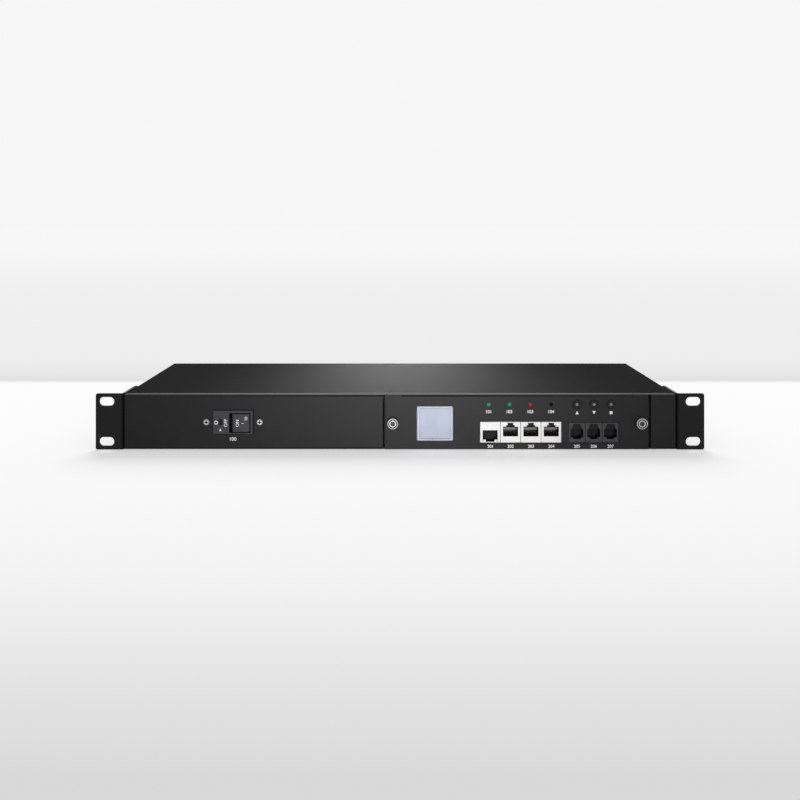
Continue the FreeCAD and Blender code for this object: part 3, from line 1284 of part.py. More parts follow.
def display_bezel():
    """Bevelled frame round the display, with a stem through the panel."""
    out = FRONT - DISPLAY_PROUD
    frame = prism(rect(DISPLAY_X, DISPLAY_Z, DISPLAY_W, DISPLAY_H, 1.0), "XZ", out, FRONT)
    edges = [e for e in frame.Edges if e.BoundBox.YMax < out + 1e-3]
    stem = prism(rect(DISPLAY_X, DISPLAY_Z, STEM_W, STEM_H), "XZ", FRONT, PANEL_BACK)
    whole = join(frame.makeChamfer(0.7, edges), stem)
    hole = rect(DISPLAY_X, DISPLAY_Z, GLASS_W + 2 * GLASS_GAP, GLASS_H + 2 * GLASS_GAP)
    return whole.cut(prism(hole, "XZ", out - 1, PANEL_BACK + 1))


def display_window():
    """Clear window standing in the bezel, on the display behind it."""
    out = FRONT - DISPLAY_PROUD + FIT
    glass = prism(rect(DISPLAY_X, DISPLAY_Z, GLASS_W, GLASS_H), "XZ", out, PANEL_BACK)
    return glass.makeChamfer(0.2, [e for e in glass.Edges if e.BoundBox.YMax < out + 1e-3])


def lcd_module():
    """Display module behind the panel, with two feet on the control board."""
    back = PANEL_BACK + LCD_D
    body = prism(rect(DISPLAY_X, DISPLAY_Z, LCD_W, LCD_H, 0.5), "XZ", PANEL_BACK, back)
    low, half = DISPLAY_Z - LCD_H / 2, LCD_FOOT_W / 2
    feet = [box(x - half, x + half, back - half, back, BOARD_TOP, low + 1)
            for x in (DISPLAY_X - LCD_FOOT_X, DISPLAY_X + LCD_FOOT_X)]
    return join(body, *feet)


def indicator_board():
    """Upright board for the lamps and key switches, on two legs."""
    left, right = RJ45_X0 - RJ45_W / 2 - LEG_GAP, RJ11_LAST + RJ11_W / 2 + LEG_GAP
    low, high = BOARD_TOP + max(RJ45_H, RJ11_H) + INDICATOR_CLEAR, CEIL - INDICATOR_DROP
    y = FRONT + KEY_BOARD_Y
    return prism([(left - LEG_W, BOARD_TOP), (left, BOARD_TOP), (left, low), (right, low), (right, BOARD_TOP),
                  (right + LEG_W, BOARD_TOP), (right + LEG_W, high), (left - LEG_W, high)],
                 "XZ", y, y + BOARD_T)


def key_switches():
    """Switch behind each key and behind the reset pinhole, with a well for the stem."""
    switches = []
    back = FRONT + KEY_BOARD_Y
    front = back - SWITCH_D
    for x in key_places() + [RESET_X]:
        body = prism(rect(x, ROW_Z, SWITCH_W, SWITCH_W, 0.5), "XZ", front, back)
        switches.append(body.cut(y_hole(STEM_R + STEM_ROOM, x, ROW_Z, front - 1, STEM_END + STEM_TRAVEL)))
    return switches


def lamp(x):
    """Domed lamp through the panel, standing on the indicator board."""
    back, r = FRONT + KEY_BOARD_Y, LAMP_R - FIT
    base, rim = back - LAMP_BASE_L, r + LAMP_BASE_RIM
    return along_y([(0.37 * r, FRONT - 0.47 * r), (0.7 * r, FRONT - 0.37 * r), (r, FRONT), (r, base),
                    (rim, base), (rim, back)], x, ROW_Z)


def status_lamps():
    return [lamp(x) for x in lamp_places()[:2]]


def alarm_lamp():
    return lamp(lamp_places()[2])


def captive_collars():
    """Flanged bushes pressed into the panel for the captive screws."""
    collars = []
    for x in (CAPTIVE_X0, CAPTIVE_X1):
        out = FRONT - COLLAR_FLANGE_T
        bush = along_y([(KNOB_R - 0.3, out), (KNOB_R, out + 0.3), (KNOB_R, FRONT), (COLLAR_R, FRONT),
                        (COLLAR_R, PANEL_BACK + 0.8)], x, CAPTIVE_Z)
        collars.append(bush.cut(y_hole(CAPTIVE_SHANK_R + SEAT, x, CAPTIVE_Z, FRONT - 5, FRONT + 5)))
    return collars


# Moving pieces

KEY_SEAT = PANEL_BACK + FIT       # flange of a key just behind the panel
FLANGE_T = 0.8
STEM_R = 1.6
STEM_END = FRONT + KEY_BOARD_Y - SWITCH_D + 1.2
STEM_ROOM = 0.15                  # round a stem in its switch
STEM_TRAVEL = 0.6                 # behind it
GROOVE_R0 = 2.65                  # ring groove in a captive screw's face
GROOVE_R1 = 3.5
GROOVE_D = 0.9
CROSS_W = 3.6
CROSS_T = 0.9
CROSS_D = 1.6


def key(x):
    """Domed key with a flange behind the panel and a stem into its switch."""
    r = KEY_R
    back = KEY_SEAT + FLANGE_T
    return along_y([(0.9, FRONT - 0.35), (1.6, FRONT - 0.2), (r, FRONT + 0.2), (r, KEY_SEAT),
                    (r + 1, KEY_SEAT), (r + 1, back), (STEM_R, back), (STEM_R, STEM_END)], x, ROW_Z)


def up_button():
    return key(key_places()[0])


def down_button():
    return key(key_places()[1])


def control_button():
    return key(key_places()[2])


def reset_plunger():
    """Plunger behind the reset pinhole."""
    back = KEY_SEAT + FLANGE_T
    return along_y([(0.8, FRONT + 0.5), (1.0, FRONT + 0.7), (1.0, KEY_SEAT), (2.0, KEY_SEAT), (2.0, back),
                    (STEM_R, back), (STEM_R, STEM_END)], RESET_X, ROW_Z)


def captive_screw(x):
    """Knurled thumb screw: ringed front face with a cross recess, and a shank through the collar."""
    back = FRONT - COLLAR_FLANGE_T - 2 * FIT
    front = back - KNOB_L
    rim = []
    for i in range(2 * KNURLS):
        r = KNOB_R - KNURL_DEPTH * (i % 2)
        angle = math.pi * i / KNURLS
        rim.append((x + r * math.cos(angle), CAPTIVE_Z + r * math.sin(angle)))
    knob = prism(rim, "XZ", front, back)
    edge = 0.6
    inner, outer = KNOB_R - edge, KNOB_R + 0.1
    low, high = front + edge + 0.1, back - edge - 0.1
    envelope = along_y([(inner, front), (outer, low), (outer, high), (inner, back)], x, CAPTIVE_Z)
    knob = knob.common(envelope)
    boss = y_hole(GROOVE_R0, x, CAPTIVE_Z, front - 2, front + 2)
    knob = knob.cut(y_hole(GROOVE_R1, x, CAPTIVE_Z, front - 1, front + GROOVE_D).cut(boss))
    for w, h in ((CROSS_W, CROSS_T), (CROSS_T, CROSS_W)):
        knob = knob.cut(prism(rect(x, CAPTIVE_Z, w, h), "XZ", front - 1, front + CROSS_D))
    shank = along_y([(CAPTIVE_SHANK_R, back - 1), (CAPTIVE_SHANK_R, FRONT + CAPTIVE_REACH - 0.6),
                     (CAPTIVE_SHANK_R - 0.6, FRONT + CAPTIVE_REACH)], x, CAPTIVE_Z)
    return join(knob, shank)


def left_captive_screw():
    return captive_screw(CAPTIVE_X0)


def right_captive_screw():
    return captive_screw(CAPTIVE_X1)


PIECES = (base_tray, top_cover, rear_panel, left_ear_bracket, right_ear_bracket, cover_screws, ear_screws,
          clinch_nuts, bay_left_wall, bay_right_wall, card_guides, edge_socket,
          breaker_case, breaker_terminals, breaker_screws, breaker_rocker,
          outlets_left, outlets_right, inlet_housing, inlet_pins, inlet_screws,
          live_busbar, earth_busbar, neutral_busbar, live_leads, neutral_lead, earth_lead, earth_stud,
          meter_board, board_fixings, current_transformer, supply_module, ribbon_cable,
          module_panel, control_board, board_brackets, module_screws,
          net_jack, net_lamps, serial_jack, link_in_jack, link_out_jack,
          sensor_jack_1, sensor_jack_2, alarm_jack, jack_contacts,
          display_bezel, display_window, lcd_module, indicator_board, key_switches,
          status_lamps, alarm_lamp, captive_collars,
          up_button, down_button, control_button, reset_plunger, left_captive_screw, right_captive_screw)

os.makedirs("parts", exist_ok=True)
for piece in PIECES:
    made = piece()
    if isinstance(made, list):
        made = Part.Compound(made)
    made.exportStep("parts/" + piece.__name__ + ".step")
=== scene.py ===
"""Finishes, printed marks, board parts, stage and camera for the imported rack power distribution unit.

Metres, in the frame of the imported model: +X right, +Y to the rear, +Z up, origin between the rack slots.
"""

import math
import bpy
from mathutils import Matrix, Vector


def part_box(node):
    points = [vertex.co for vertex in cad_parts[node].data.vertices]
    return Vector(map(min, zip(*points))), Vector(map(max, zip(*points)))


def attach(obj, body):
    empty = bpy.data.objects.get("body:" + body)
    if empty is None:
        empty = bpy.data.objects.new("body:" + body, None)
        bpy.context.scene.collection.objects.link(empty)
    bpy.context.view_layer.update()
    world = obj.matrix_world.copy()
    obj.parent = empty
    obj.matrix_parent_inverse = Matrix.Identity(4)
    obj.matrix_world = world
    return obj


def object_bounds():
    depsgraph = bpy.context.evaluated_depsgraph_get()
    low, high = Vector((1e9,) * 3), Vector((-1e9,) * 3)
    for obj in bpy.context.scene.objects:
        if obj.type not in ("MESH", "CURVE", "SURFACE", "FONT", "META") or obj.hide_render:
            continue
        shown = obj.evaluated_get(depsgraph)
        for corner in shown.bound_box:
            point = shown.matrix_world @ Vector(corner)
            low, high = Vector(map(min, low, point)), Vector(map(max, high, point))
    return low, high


bl_info = {
    "name": "Rack Power Distribution Unit",
    "version": (1, 0, 0),
    "blender": (4, 5, 0),
    "location": "3D View > Sidebar > Rack Unit",
    "description": "Finishes, printed marks, board parts and stage for a packed rack power distribution unit",
    "category": "Object",
}

import bpy
import numpy as np
from bpy.props import FloatProperty, FloatVectorProperty, PointerProperty
from mathutils import Vector

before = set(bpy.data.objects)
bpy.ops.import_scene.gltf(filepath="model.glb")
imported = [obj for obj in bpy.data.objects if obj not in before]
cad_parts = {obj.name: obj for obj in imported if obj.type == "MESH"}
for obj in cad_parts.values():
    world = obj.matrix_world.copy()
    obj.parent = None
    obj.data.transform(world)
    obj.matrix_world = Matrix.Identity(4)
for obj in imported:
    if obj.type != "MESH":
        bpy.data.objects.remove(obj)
CAD_BOX = [list(corner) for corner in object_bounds()]
MM = 0.001


def srgb(red, green, blue):
    """Linear colour of an 8-bit display colour."""
    share = np.array((red, green, blue)) / 255.0
    linear = np.where(share <= 0.04045, share / 12.92, ((share + 0.055) / 1.055) ** 2.4)
    return tuple(float(c) for c in linear)


def colour(name, description, rgb):
    """A colour setting, given as an 8-bit display colour."""
    return FloatVectorProperty(name=name, description=description, subtype="COLOR", size=3, min=0.0, max=1.0,
                               default=srgb(*rgb))


def length(name, description, millimetres):
    """A length setting, given in millimetres."""
    return FloatProperty(name=name, description=description, unit="LENGTH", precision=5,
                         default=millimetres * MM)


def power(name, description, watts):
    """A lamp's power, given in watts."""
    return FloatProperty(name=name, description=description, unit="POWER", default=watts)


class PaintSettings(bpy.types.PropertyGroup):
    case: colour("Case", "Powder coat of the case and the module's panel", (39, 39, 40))
    cover: colour("Cover", "Matt powder coat of the top cover", (44, 44, 45))
    ears: colour("Ears", "Powder coat of the rack ears", (34, 34, 35))
    seam: colour("Seams", "Shaded seams between the front and the ears", (3, 3, 3))
    # painted highlight: a paler colour along the cover's front edge, where the light catches it
    edge: colour("Cover Edge", "Paint where it thins along the cover's front edge", (126, 126, 128))
    grain: FloatProperty(name="Grain", description="Powder grains per metre", default=1900.0, min=1.0)
    grain_depth: length("Grain Depth", "Depth of the powder coat's texture", 0.05)


class PlasticSettings(bpy.types.PropertyGroup):
    breaker: colour("Breaker", "Fixed face and case of the circuit breaker", (66, 66, 68))
    rocker: colour("Rocker", "Rocker of the circuit breaker", (62, 61, 64))
    socket: colour("Sockets", "Rear outlets and inlet, and other black mouldings", (24, 24, 26))
    deep: colour("Hollows", "Shaded hollows of the breaker and the jacks, and the reset plunger", (9, 9, 10))
    white_jack: colour("White Jacks", "Housings of the wide jacks", (254, 254, 253))
    grey_jack: colour("Grey Jacks", "Housings of the narrow jacks", (70, 68, 72))
    # painted highlight: a paler band across the back wall of the wide jacks' hollows
    carrier: colour("Carriers", "Contact carriers at the back of the wide jacks", (144, 142, 145))
    # painted highlight: the pale middle of each key stands for light on its domed top
    key: colour("Keys", "Studs of the three keys", (128, 127, 129))
    dish: colour("Key Dishes", "Rims of the three keys", (66, 66, 68))
    bezel: colour("Bezel", "Frame round the display", (200, 207, 224))
    film: colour("Film", "Unlit display under its film", (187, 195, 214))
    green_lamp: colour("Green Lamps", "Lenses of the two status lamps", (34, 138, 100))
    red_lamp: colour("Red Lamp", "Lens of the alarm lamp", (172, 38, 46))
    board: colour("Boards", "Solder mask of the circuit boards", (22, 84, 48))


class MetalSettings(bpy.types.PropertyGroup):
    screw: colour("Bright Screws", "Plated screws and studs", (205, 205, 207))
    front_screw: colour("Front Screws", "Heads of the breaker's two screws", (150, 150, 152))
    recess: colour("Recesses", "Shaded cross recesses", (20, 20, 21))
    dark_screw: colour("Dark Screws", "Blackened screws", (36, 36, 38))
    sheet: colour("Plated Sheet", "Zinc-plated sheet inside the case", (176, 180, 184))
    captive: colour("Captive Screws", "Knurled sides of the captive screws", (30, 30, 31))
    # painted highlights: the bright rings stand for light caught on the edges of the captive screws' faces
    captive_face: colour("Captive Faces", "Machined rings on the captive screws' faces", (168, 168, 168))
    contact: colour("Contacts", "Plated contacts and pins", (206, 180, 110))
    copper: colour("Copper", "Busbars", (196, 122, 80))


class MarkSettings(bpy.types.PropertyGroup):
    ink: colour("Ink", "White printing on the panels", (250, 250, 250))
    lift: length("Lift", "Ink above the face it is printed on", 0.03)
    weight: length("Weight", "Growth of each character's outline", 0.06)
    row_size: length("Row Marks", "Size of the marks below the lamps and keys", 3.5)
    jack_size: length("Jack Marks", "Size of the numbers below the jacks", 3.3)
    breaker_size: length("Breaker Marks", "Size of the letters on the breaker", 2.9)
    lamp_drop: length("Lamp Marks", "Marks below the middle of the lamps", 5.7)
    key_drop: length("Key Marks", "Marks below the middle of the keys", 6.5)
    jack_drop: length("Jack Numbers", "Numbers below the lower edge of the jacks", 2.8)


class StageSettings(bpy.types.PropertyGroup):
    distance: length("Camera Distance", "Camera ahead of the front panel", 935.0)
    height: length("Camera Height", "Camera above the origin", 157.3)
    lens: FloatProperty(name="Lens", description="Focal length on a 36 mm sensor, in millimetres",
                        default=53.06)
    shift: FloatProperty(name="Vertical Shift", description="Share of the frame's width", default=-0.2211)
    key_power: power("Key Light", "Soft light ahead of the front", 0.225)
    rear_power: power("Rear Light", "Narrow light along the top", 0.2)
    side_power: power("Side Lights", "Soft light on each side", 0.12)
    sun: FloatProperty(name="Sun", description="Strength of the broad light from above and behind",
                       default=1.2)
    sky: FloatProperty(name="Sky", description="Strength of the even light all round", default=0.32)
    glow: FloatProperty(name="Floor Glow", description="Share of the floor's tone that is seen without light",
                        default=0.46, min=0.0, max=1.0)


SETTINGS = {"rack_paint": PaintSettings, "rack_plastic": PlasticSettings, "rack_metal": MetalSettings,
            "rack_marks": MarkSettings, "rack_stage": StageSettings}


# Shader groups

def new_group(name, inputs, outputs):
    """An empty shader group with its sockets; returns the group and its input and output nodes."""
    group = bpy.data.node_groups.new(name, "ShaderNodeTree")
    for label, kind, value in inputs:
        socket = group.interface.new_socket(label, in_out="INPUT", socket_type="NodeSocket" + kind)
        socket.default_value = value
    for label, kind in outputs:
        group.interface.new_socket(label, in_out="OUTPUT", socket_type="NodeSocket" + kind)
    return group, group.nodes.new("NodeGroupInput"), group.nodes.new("NodeGroupOutput")


def add_node(tree, kind, **values):
    """A node with its properties set by name and its sockets by label."""
    node = tree.nodes.new("ShaderNode" + kind)
    for name, value in values.items():
        if hasattr(node, name):
            setattr(node, name, value)
        else:
            node.inputs[name.replace("_", " ")].default_value = value
    return node


def feed(tree, socket, value):
    """Links a socket to another socket, or gives it a plain value."""
    if isinstance(value, bpy.types.NodeSocket):
        tree.links.new(value, socket)
    else:
        socket.default_value = value


def ramp(tree, source, low, high, at_low=0.0, at_high=1.0):
    """Map Range node: low..high of the source becomes at_low..at_high, clamped."""
    node = add_node(tree, "MapRange", From_Min=low, From_Max=high, To_Min=at_low, To_Max=at_high)
    tree.links.new(source, node.inputs["Value"])
    return node.outputs["Result"]


def calculate(tree, operation, *values):
    """Math node; each value is a socket or a number."""
    node = add_node(tree, "Math", operation=operation)
    for socket, value in zip(node.inputs, values):
        feed(tree, socket, value)
    return node.outputs[0]


# A Mix node has sockets for every kind of data: its factor and two colours, and the mixed colour
COLOUR_MIX_INPUTS, COLOUR_MIX_OUTPUT = (0, 6, 7), 2


def blend_colours(tree, factor, first, second, mode="MIX"):
    """Mix node for colours; each argument is a socket or a value."""
    node = add_node(tree, "Mix", data_type="RGBA", blend_type=mode)
    for index, value in zip(COLOUR_MIX_INPUTS, (factor, first, second)):
        feed(tree, node.inputs[index], value)
    return node.outputs[COLOUR_MIX_OUTPUT]


def noise(tree, vector, scale, detail=2.0, roughness=0.5):
    """Noise texture on a vector; the scale is a socket or a value."""
    node = add_node(tree, "TexNoise", Detail=detail, Roughness=roughness)
    tree.links.new(vector, node.inputs["Vector"])
    feed(tree, node.inputs["Scale"], scale)
    return node.outputs["Fac"]


SURFACE_OUTPUTS = (("Color", "Color"), ("Roughness", "Float"), ("Height", "Float"))
MID_GREY = (0.5, 0.5, 0.5, 1.0)
BLACK, WHITE = (0.0, 0.0, 0.0, 1.0), (1.0, 1.0, 1.0, 1.0)
PALER = (1.35, 1.35, 1.35, 1.0)                       # brightening of the grains' pale side
MOTTLE_SCALE = 90.0                                   # broad mottling, per metre
GRAIN_ROUGHNESS, STREAK_ROUGHNESS = 0.04, 0.2         # spread of the roughness round its middle


def finish_group(group, sink, tone, height, variation, spread, gloss):
    """Feeds a group's outputs; the roughness varies round the gloss by half the spread."""
    rough = calculate(group, "MULTIPLY_ADD", ramp(group, variation, 0.3, 0.7, -0.5, 0.5), spread, gloss)
    for label, value in (("Color", tone), ("Roughness", rough), ("Height", height)):
        group.links.new(value, sink.inputs[label])
    return group


def grain_group():
    """Grain: fine noise for the height, broad mottling of the colour, and roughness that follows both."""
    inputs = (("Color", "Color", MID_GREY), ("Scale", "Float", 1000.0), ("Mottle", "Float", 0.1),
              ("Gloss", "Float", 0.5))
    group, source, sink = new_group("Grain", inputs, SURFACE_OUTPUTS)
    tone, mottle = source.outputs["Color"], source.outputs["Mottle"]
    place = add_node(group, "TexCoord").outputs["Object"]
    fine = noise(group, place, source.outputs["Scale"], 3.0, 0.6)
    broad = noise(group, place, MOTTLE_SCALE, 3.0)
    pale = blend_colours(group, 1.0, tone, PALER, "MULTIPLY")
    dull = blend_colours(group, 0.35, tone, BLACK)
    mottled = blend_colours(group, ramp(group, broad, 0.35, 0.65), dull, pale)
    even = blend_colours(group, mottle, tone, mottled)
    flecked = blend_colours(group, ramp(group, fine, 0.35, 0.75), dull, pale)
    tone = blend_colours(group, mottle, even, flecked)
    return finish_group(group, sink, tone, fine, broad, GRAIN_ROUGHNESS, source.outputs["Gloss"])


def brushed_group():
    """Brushed: noise stretched along one direction for streaks in colour, roughness and height."""
    inputs = (("Color", "Color", MID_GREY), ("Scale", "Vector", (1, 1, 1)), ("Streak", "Float", 0.3),
              ("Gloss", "Float", 0.3))
    group, source, sink = new_group("Brushed", inputs, SURFACE_OUTPUTS)
    tone = source.outputs["Color"]
    stretch = add_node(group, "VectorMath", operation="MULTIPLY")
    group.links.new(add_node(group, "TexCoord").outputs["Object"], stretch.inputs[0])
    group.links.new(source.outputs["Scale"], stretch.inputs[1])
    streaks = noise(group, stretch.outputs[0], 1.0, 4.0, 0.65)
    dull = blend_colours(group, 0.45, tone, BLACK)
    pale = blend_colours(group, 0.25, tone, WHITE)
    streaked = blend_colours(group, ramp(group, streaks, 0.3, 0.7), dull, pale)
    tone = blend_colours(group, source.outputs["Streak"], tone, streaked)
    return finish_group(group, sink, tone, streaks, streaks, STREAK_ROUGHNESS, source.outputs["Gloss"])


def shared_group(make, name):
    """The named shader group, made the first time it is asked for."""
    return bpy.data.node_groups.get(name) or make()


# Materials

def opaque(rgb):
    """The colour with full alpha, as sockets take it."""
    return (*rgb, 1.0)


def surface(name, group, values, depth, **plain):
    """A Principled material fed by a shader group; plain values go straight on the shader's sockets."""
    material = bpy.data.materials.new(name)
    material.use_nodes = True
    tree = material.node_tree
    shader = tree.nodes["Principled BSDF"]
    effect = add_node(tree, "Group", node_tree=group)
    for label, value in values.items():
        effect.inputs[label].default_value = value
    tree.links.new(effect.outputs["Color"], shader.inputs["Base Color"])
    tree.links.new(effect.outputs["Roughness"], shader.inputs["Roughness"])
    bump = add_node(tree, "Bump", Strength=0.5, Distance=depth)
    tree.links.new(effect.outputs["Height"], bump.inputs["Height"])
    tree.links.new(bump.outputs["Normal"], shader.inputs["Normal"])
    for label, value in plain.items():
        shader.inputs[label.replace("_", " ")].default_value = value
    return material


def grained(name, rgb, scale, mottle, gloss, depth, **plain):
    """Grainy finish: grains per metre, share of mottling, roughness and depth of the texture."""
    group = shared_group(grain_group, "Grain")
    values = {"Color": opaque(rgb), "Scale": scale, "Mottle": mottle, "Gloss": gloss}
    return surface(name, group, values, depth, **plain)


FINE_GRAIN = 2600.0                                   # grains per metre


def moulded(name, rgb, gloss=0.42, **plain):
    """Moulded plastic: faint sparkle texture and slightly uneven gloss."""
    return grained(name, rgb, FINE_GRAIN, 0.12, gloss, 0.012 * MM, **plain)


def brushed(name, rgb, scale, streak, gloss, **plain):
    """Bare metal: streaks per metre along each axis, share of streaks and roughness."""
    group = shared_group(brushed_group, "Brushed")
    values = {"Color": opaque(rgb), "Scale": scale, "Streak": streak, "Gloss": gloss}
    return surface(name, group, values, 0.01 * MM, Metallic=1.0, **plain)


def clothe(material, *nodes):
    """Puts the material on CAD nodes."""
    for node in nodes:
        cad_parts[node].material_slots[0].material = material


# Surfaces

def grid_faces(rows, columns, wrap_rows=False, wrap_columns=False):
    """Quads between neighbouring points of a rows by columns grid; a wrapped side joins its last line to its
    first."""
    r = np.arange(rows if wrap_rows else rows - 1)[:, None]
    c = np.arange(columns if wrap_columns else columns - 1)[None, :]
    r1, c1 = (r + 1) % rows, (c + 1) % columns
    quads = np.stack([r * columns + c, r * columns + c1, r1 * columns + c1, r1 * columns + c], axis=-1)
    return quads.reshape(-1, 4)


def linked(name, data):
    """A new object with its data, in the scene."""
    thing = bpy.data.objects.new(name, data)
    bpy.context.scene.collection.objects.link(thing)
    return thing


def adopt(piece, body):
    """The piece rides on a body."""
    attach(piece, body)
    return piece


def capped(sections):
    """A closed solid from an array of loops (section, point, xyz): a skin of quads between neighbouring
    loops, and one flat face over the first loop and one over the last."""
    rows, columns = sections.shape[:2]
    skin = grid_faces(rows, columns, wrap_columns=True).tolist()
    first = list(range(columns))[::-1]
    last = list(range((rows - 1) * columns, rows * columns))
    return sections.reshape(-1, 3), skin + [first, last]


def many(points, faces, offsets):
    """Copies of one solid at each offset, as one set of points and faces."""
    count = len(points)
    moved = (points[None] + np.asarray(offsets)[:, None]).reshape(-1, 3)
    copies = [[i + k * count for i in face] for k in range(len(offsets)) for face in faces]
    return moved, copies


def solid_object(name, points, faces, material, smooth_angle=None):
    """A mesh object at the origin from points and faces; edges that turn less than the angle are smooth."""
    mesh = bpy.data.meshes.new(name)
    mesh.from_pydata(points, [], faces)
    mesh.materials.append(material)
    mesh.update()
    if smooth_angle is not None:
        mesh.polygons.foreach_set("use_smooth", np.full(len(mesh.polygons), True))
        mesh.set_sharp_from_angle(angle=math.radians(smooth_angle))
    return linked(name, mesh)


def rounded_loop(width, depth, radius, steps=4):
    """Points round a rectangle with quarter-circle corners: each corner's centre plus the radius at its
    angles."""
    turns = np.linspace(0.0, math.pi / 2, steps)
    starts = np.arange(4)[:, None] * math.pi / 2
    angles = starts + turns[None]
    signs = np.array([(1, 1), (-1, 1), (-1, -1), (1, -1)])
    centres = signs * (width / 2 - radius, depth / 2 - radius)
    loop = centres[:, None] + radius * np.stack([np.cos(angles), np.sin(angles)], axis=-1)
    return loop.reshape(-1, 2)


def block(*millimetres):
    """A moulded block, from its width, depth, height, corner radius and bevel: rounded rectangles stacked
    from the board up, the last drawn in to bevel the top edge."""
    width, depth, height, radius, bevel = (size * MM for size in millimetres)
    outer = rounded_loop(width, depth, radius)
    inner = rounded_loop(width - 2 * bevel, depth - 2 * bevel, radius)
    levels = np.array([0.0, height - bevel, height])
    loops = np.stack([outer, outer, inner])
    heights = np.broadcast_to(levels[:, None, None], loops.shape[:2] + (1,))
    return capped(np.concatenate([loops, heights], axis=-1))


def revolved(profile, steps=28):
    """A turned solid: each (radius, height) of the profile swept round the vertical axis."""
    profile = np.asarray(profile, dtype=float)
    angle = np.linspace(0.0, 2 * math.pi, steps, endpoint=False)
    r, z = profile[:, :1], profile[:, 1:]
    sections = np.stack([r * np.cos(angle), r * np.sin(angle), z + 0 * angle], axis=-1)
    return capped(sections)


def strip(path, width, thickness):
    """A flat strip: a rectangle of the given width and thickness carried along a path in the YZ plane, its
    thickness laid along the path's normals."""
    path = np.asarray(path, dtype=float)
    run = np.gradient(path, axis=0)
    run /= np.linalg.norm(run, axis=1, keepdims=True)
    normal = np.stack([-run[:, 1], run[:, 0]], axis=1) * thickness / 2
    upper, lower = path + normal, path - normal
    half = np.full((len(path), 1), width / 2)
    corners = ((half, upper), (-half, upper), (-half, lower), (half, lower))
    return capped(np.stack([np.hstack(corner) for corner in corners], axis=1))


def facing_front(flat, place):
    """Flat points, right and up, carried to a place in a plane across Y."""
    x, z = place[0] + flat[..., 0], place[2] + flat[..., 1]
    return np.stack([x, np.full(x.shape, place[1]), z], axis=-1)


def badge(name, outline, place, material, inner=0.0):
    """A flat printed mark facing the front: the outline's points scaled from inner to 1 about the mark's
    middle."""
    scale = np.linspace(inner, 1.0, 3 if inner else 2)[:, None, None]
    outline = np.asarray(outline, dtype=float)
    flat = outline[None] * scale
    points = facing_front(flat, place)
    if inner:
        faces = grid_faces(len(scale), len(outline), wrap_columns=True)[:, ::-1].tolist()
        return solid_object(name, points.reshape(-1, 3), faces, material)
    return solid_object(name, points[-1], [list(range(len(outline)))], material)


def ring_outline(radius, steps=40):
    """Points round a circle, in the order that faces the front."""
    angle = np.linspace(0.0, 2 * math.pi, steps, endpoint=False)
    return radius * np.stack([np.cos(angle), np.sin(angle)], axis=1)


def arrow_outline(width, height):
    """A triangle with its point up, or down where the height is negative; the order then turns round."""
    corners = np.array([(-width / 2, -height / 2), (width / 2, -height / 2), (0.0, height / 2)])
    return corners if height > 0 else corners[::-1]


def square_outline(size):
    """Corners of a square."""
    return np.array([(-1, -1), (1, -1), (1, 1), (-1, 1)]) * size / 2


def lettering(name, text, size, place, material, weight, upright=True):
    """Flat characters facing the front, centred on a place, or turned a quarter turn to read upwards."""
    curve = bpy.data.curves.new(name, "FONT")
    curve.body = text
    curve.size = size
    curve.offset = weight
    curve.resolution_u = 4
    writer = linked(name, curve)
    bpy.context.view_layer.update()
    mesh = bpy.data.meshes.new_from_object(writer)
    bpy.data.objects.remove(writer)
    bpy.data.curves.remove(curve)
    flat = np.empty(len(mesh.vertices) * 3)
    mesh.vertices.foreach_get("co", flat)
    flat = flat.reshape(-1, 3)[:, :2]
    flat -= (flat.min(axis=0) + flat.max(axis=0)) / 2
    if not upright:
        flat = np.stack([-flat[:, 1], flat[:, 0]], axis=1)
    points = facing_front(flat, place)
    mesh.vertices.foreach_set("co", points.ravel())
    mesh.materials.clear()
    mesh.materials.append(material)
    mesh.update()
    mesh.name = name
    return linked(name, mesh)


def settings(context, name):
    """The scene's settings of one kind."""
    return getattr(context.scene, name)


WIDE_JACKS = ("net_jack", "serial_jack", "link_in_jack", "link_out_jack")
NARROW_JACKS = ("sensor_jack_1", "sensor_jack_2", "alarm_jack")
KEYS = ("up_button", "down_button", "control_button")
JACK_WALL = 0.3 * MM                                  # half of a jack's thinnest wall
JACK_HIGHLIGHT_Y, JACK_HIGHLIGHT_Z = 10.6 * MM, -7.8 * MM           # front and middle of the painted highlight on a wide jack's back wall
JACK_HIGHLIGHT_REACH = 1.2 * MM                              # half of its height
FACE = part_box("base_tray")[0].y                       # front plane of the case
ROCKER_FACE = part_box("breaker_rocker")[0].y
BREAKER_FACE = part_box("breaker_case")[0].y
BREAKER_W, BREAKER_H = 32.1 * MM, 19.2 * MM           # sides of the breaker's face
GAP_SHADE = 0.8 * MM                                  # shaded gap along the top and right of that face
KEY_HIGHLIGHT_R, KEY_SHADE_R = 1.1 * MM, 1.9 * MM                   # painted highlight in a key's middle, and the painted shade of the dark ring round it
SEAM_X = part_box("base_tray")[1].x + 1.3 * MM          # middle of the shade beside each ear, on the ear's bend
SEAM_HALF, SEAM_DEPTH = 2.2 * MM, 3.0 * MM            # half of its width, and its reach behind the face
BEZEL_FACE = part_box("display_bezel")[0].y
KNOB_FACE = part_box("left_captive_screw")[0].y
HIGHLIGHT_RINGS = ((1.95 * MM, 2.75 * MM), (3.6 * MM, 5.0 * MM))   # painted highlights: bright rings on a captive screw's face
RING_DEPTH, RECESS_DEPTH = 0.3 * MM, 0.5 * MM         # behind that face, and behind a screw head's face
COVER_EDGE_H = 1.4 * MM                               # painted highlight along the cover's front edge, its height down from the top
FLANGE_REACH, FLANGE_FADE = 16.0 * MM, 1.0 * MM       # dark front of the bay's plated walls, behind the face
CRISP, SOFT = 0.1 * MM, 0.2 * MM                      # widths over which a painted edge turns
EVEN_BRUSH = (700.0, 700.0, 700.0)                    # streaks per metre of a tumbled screw
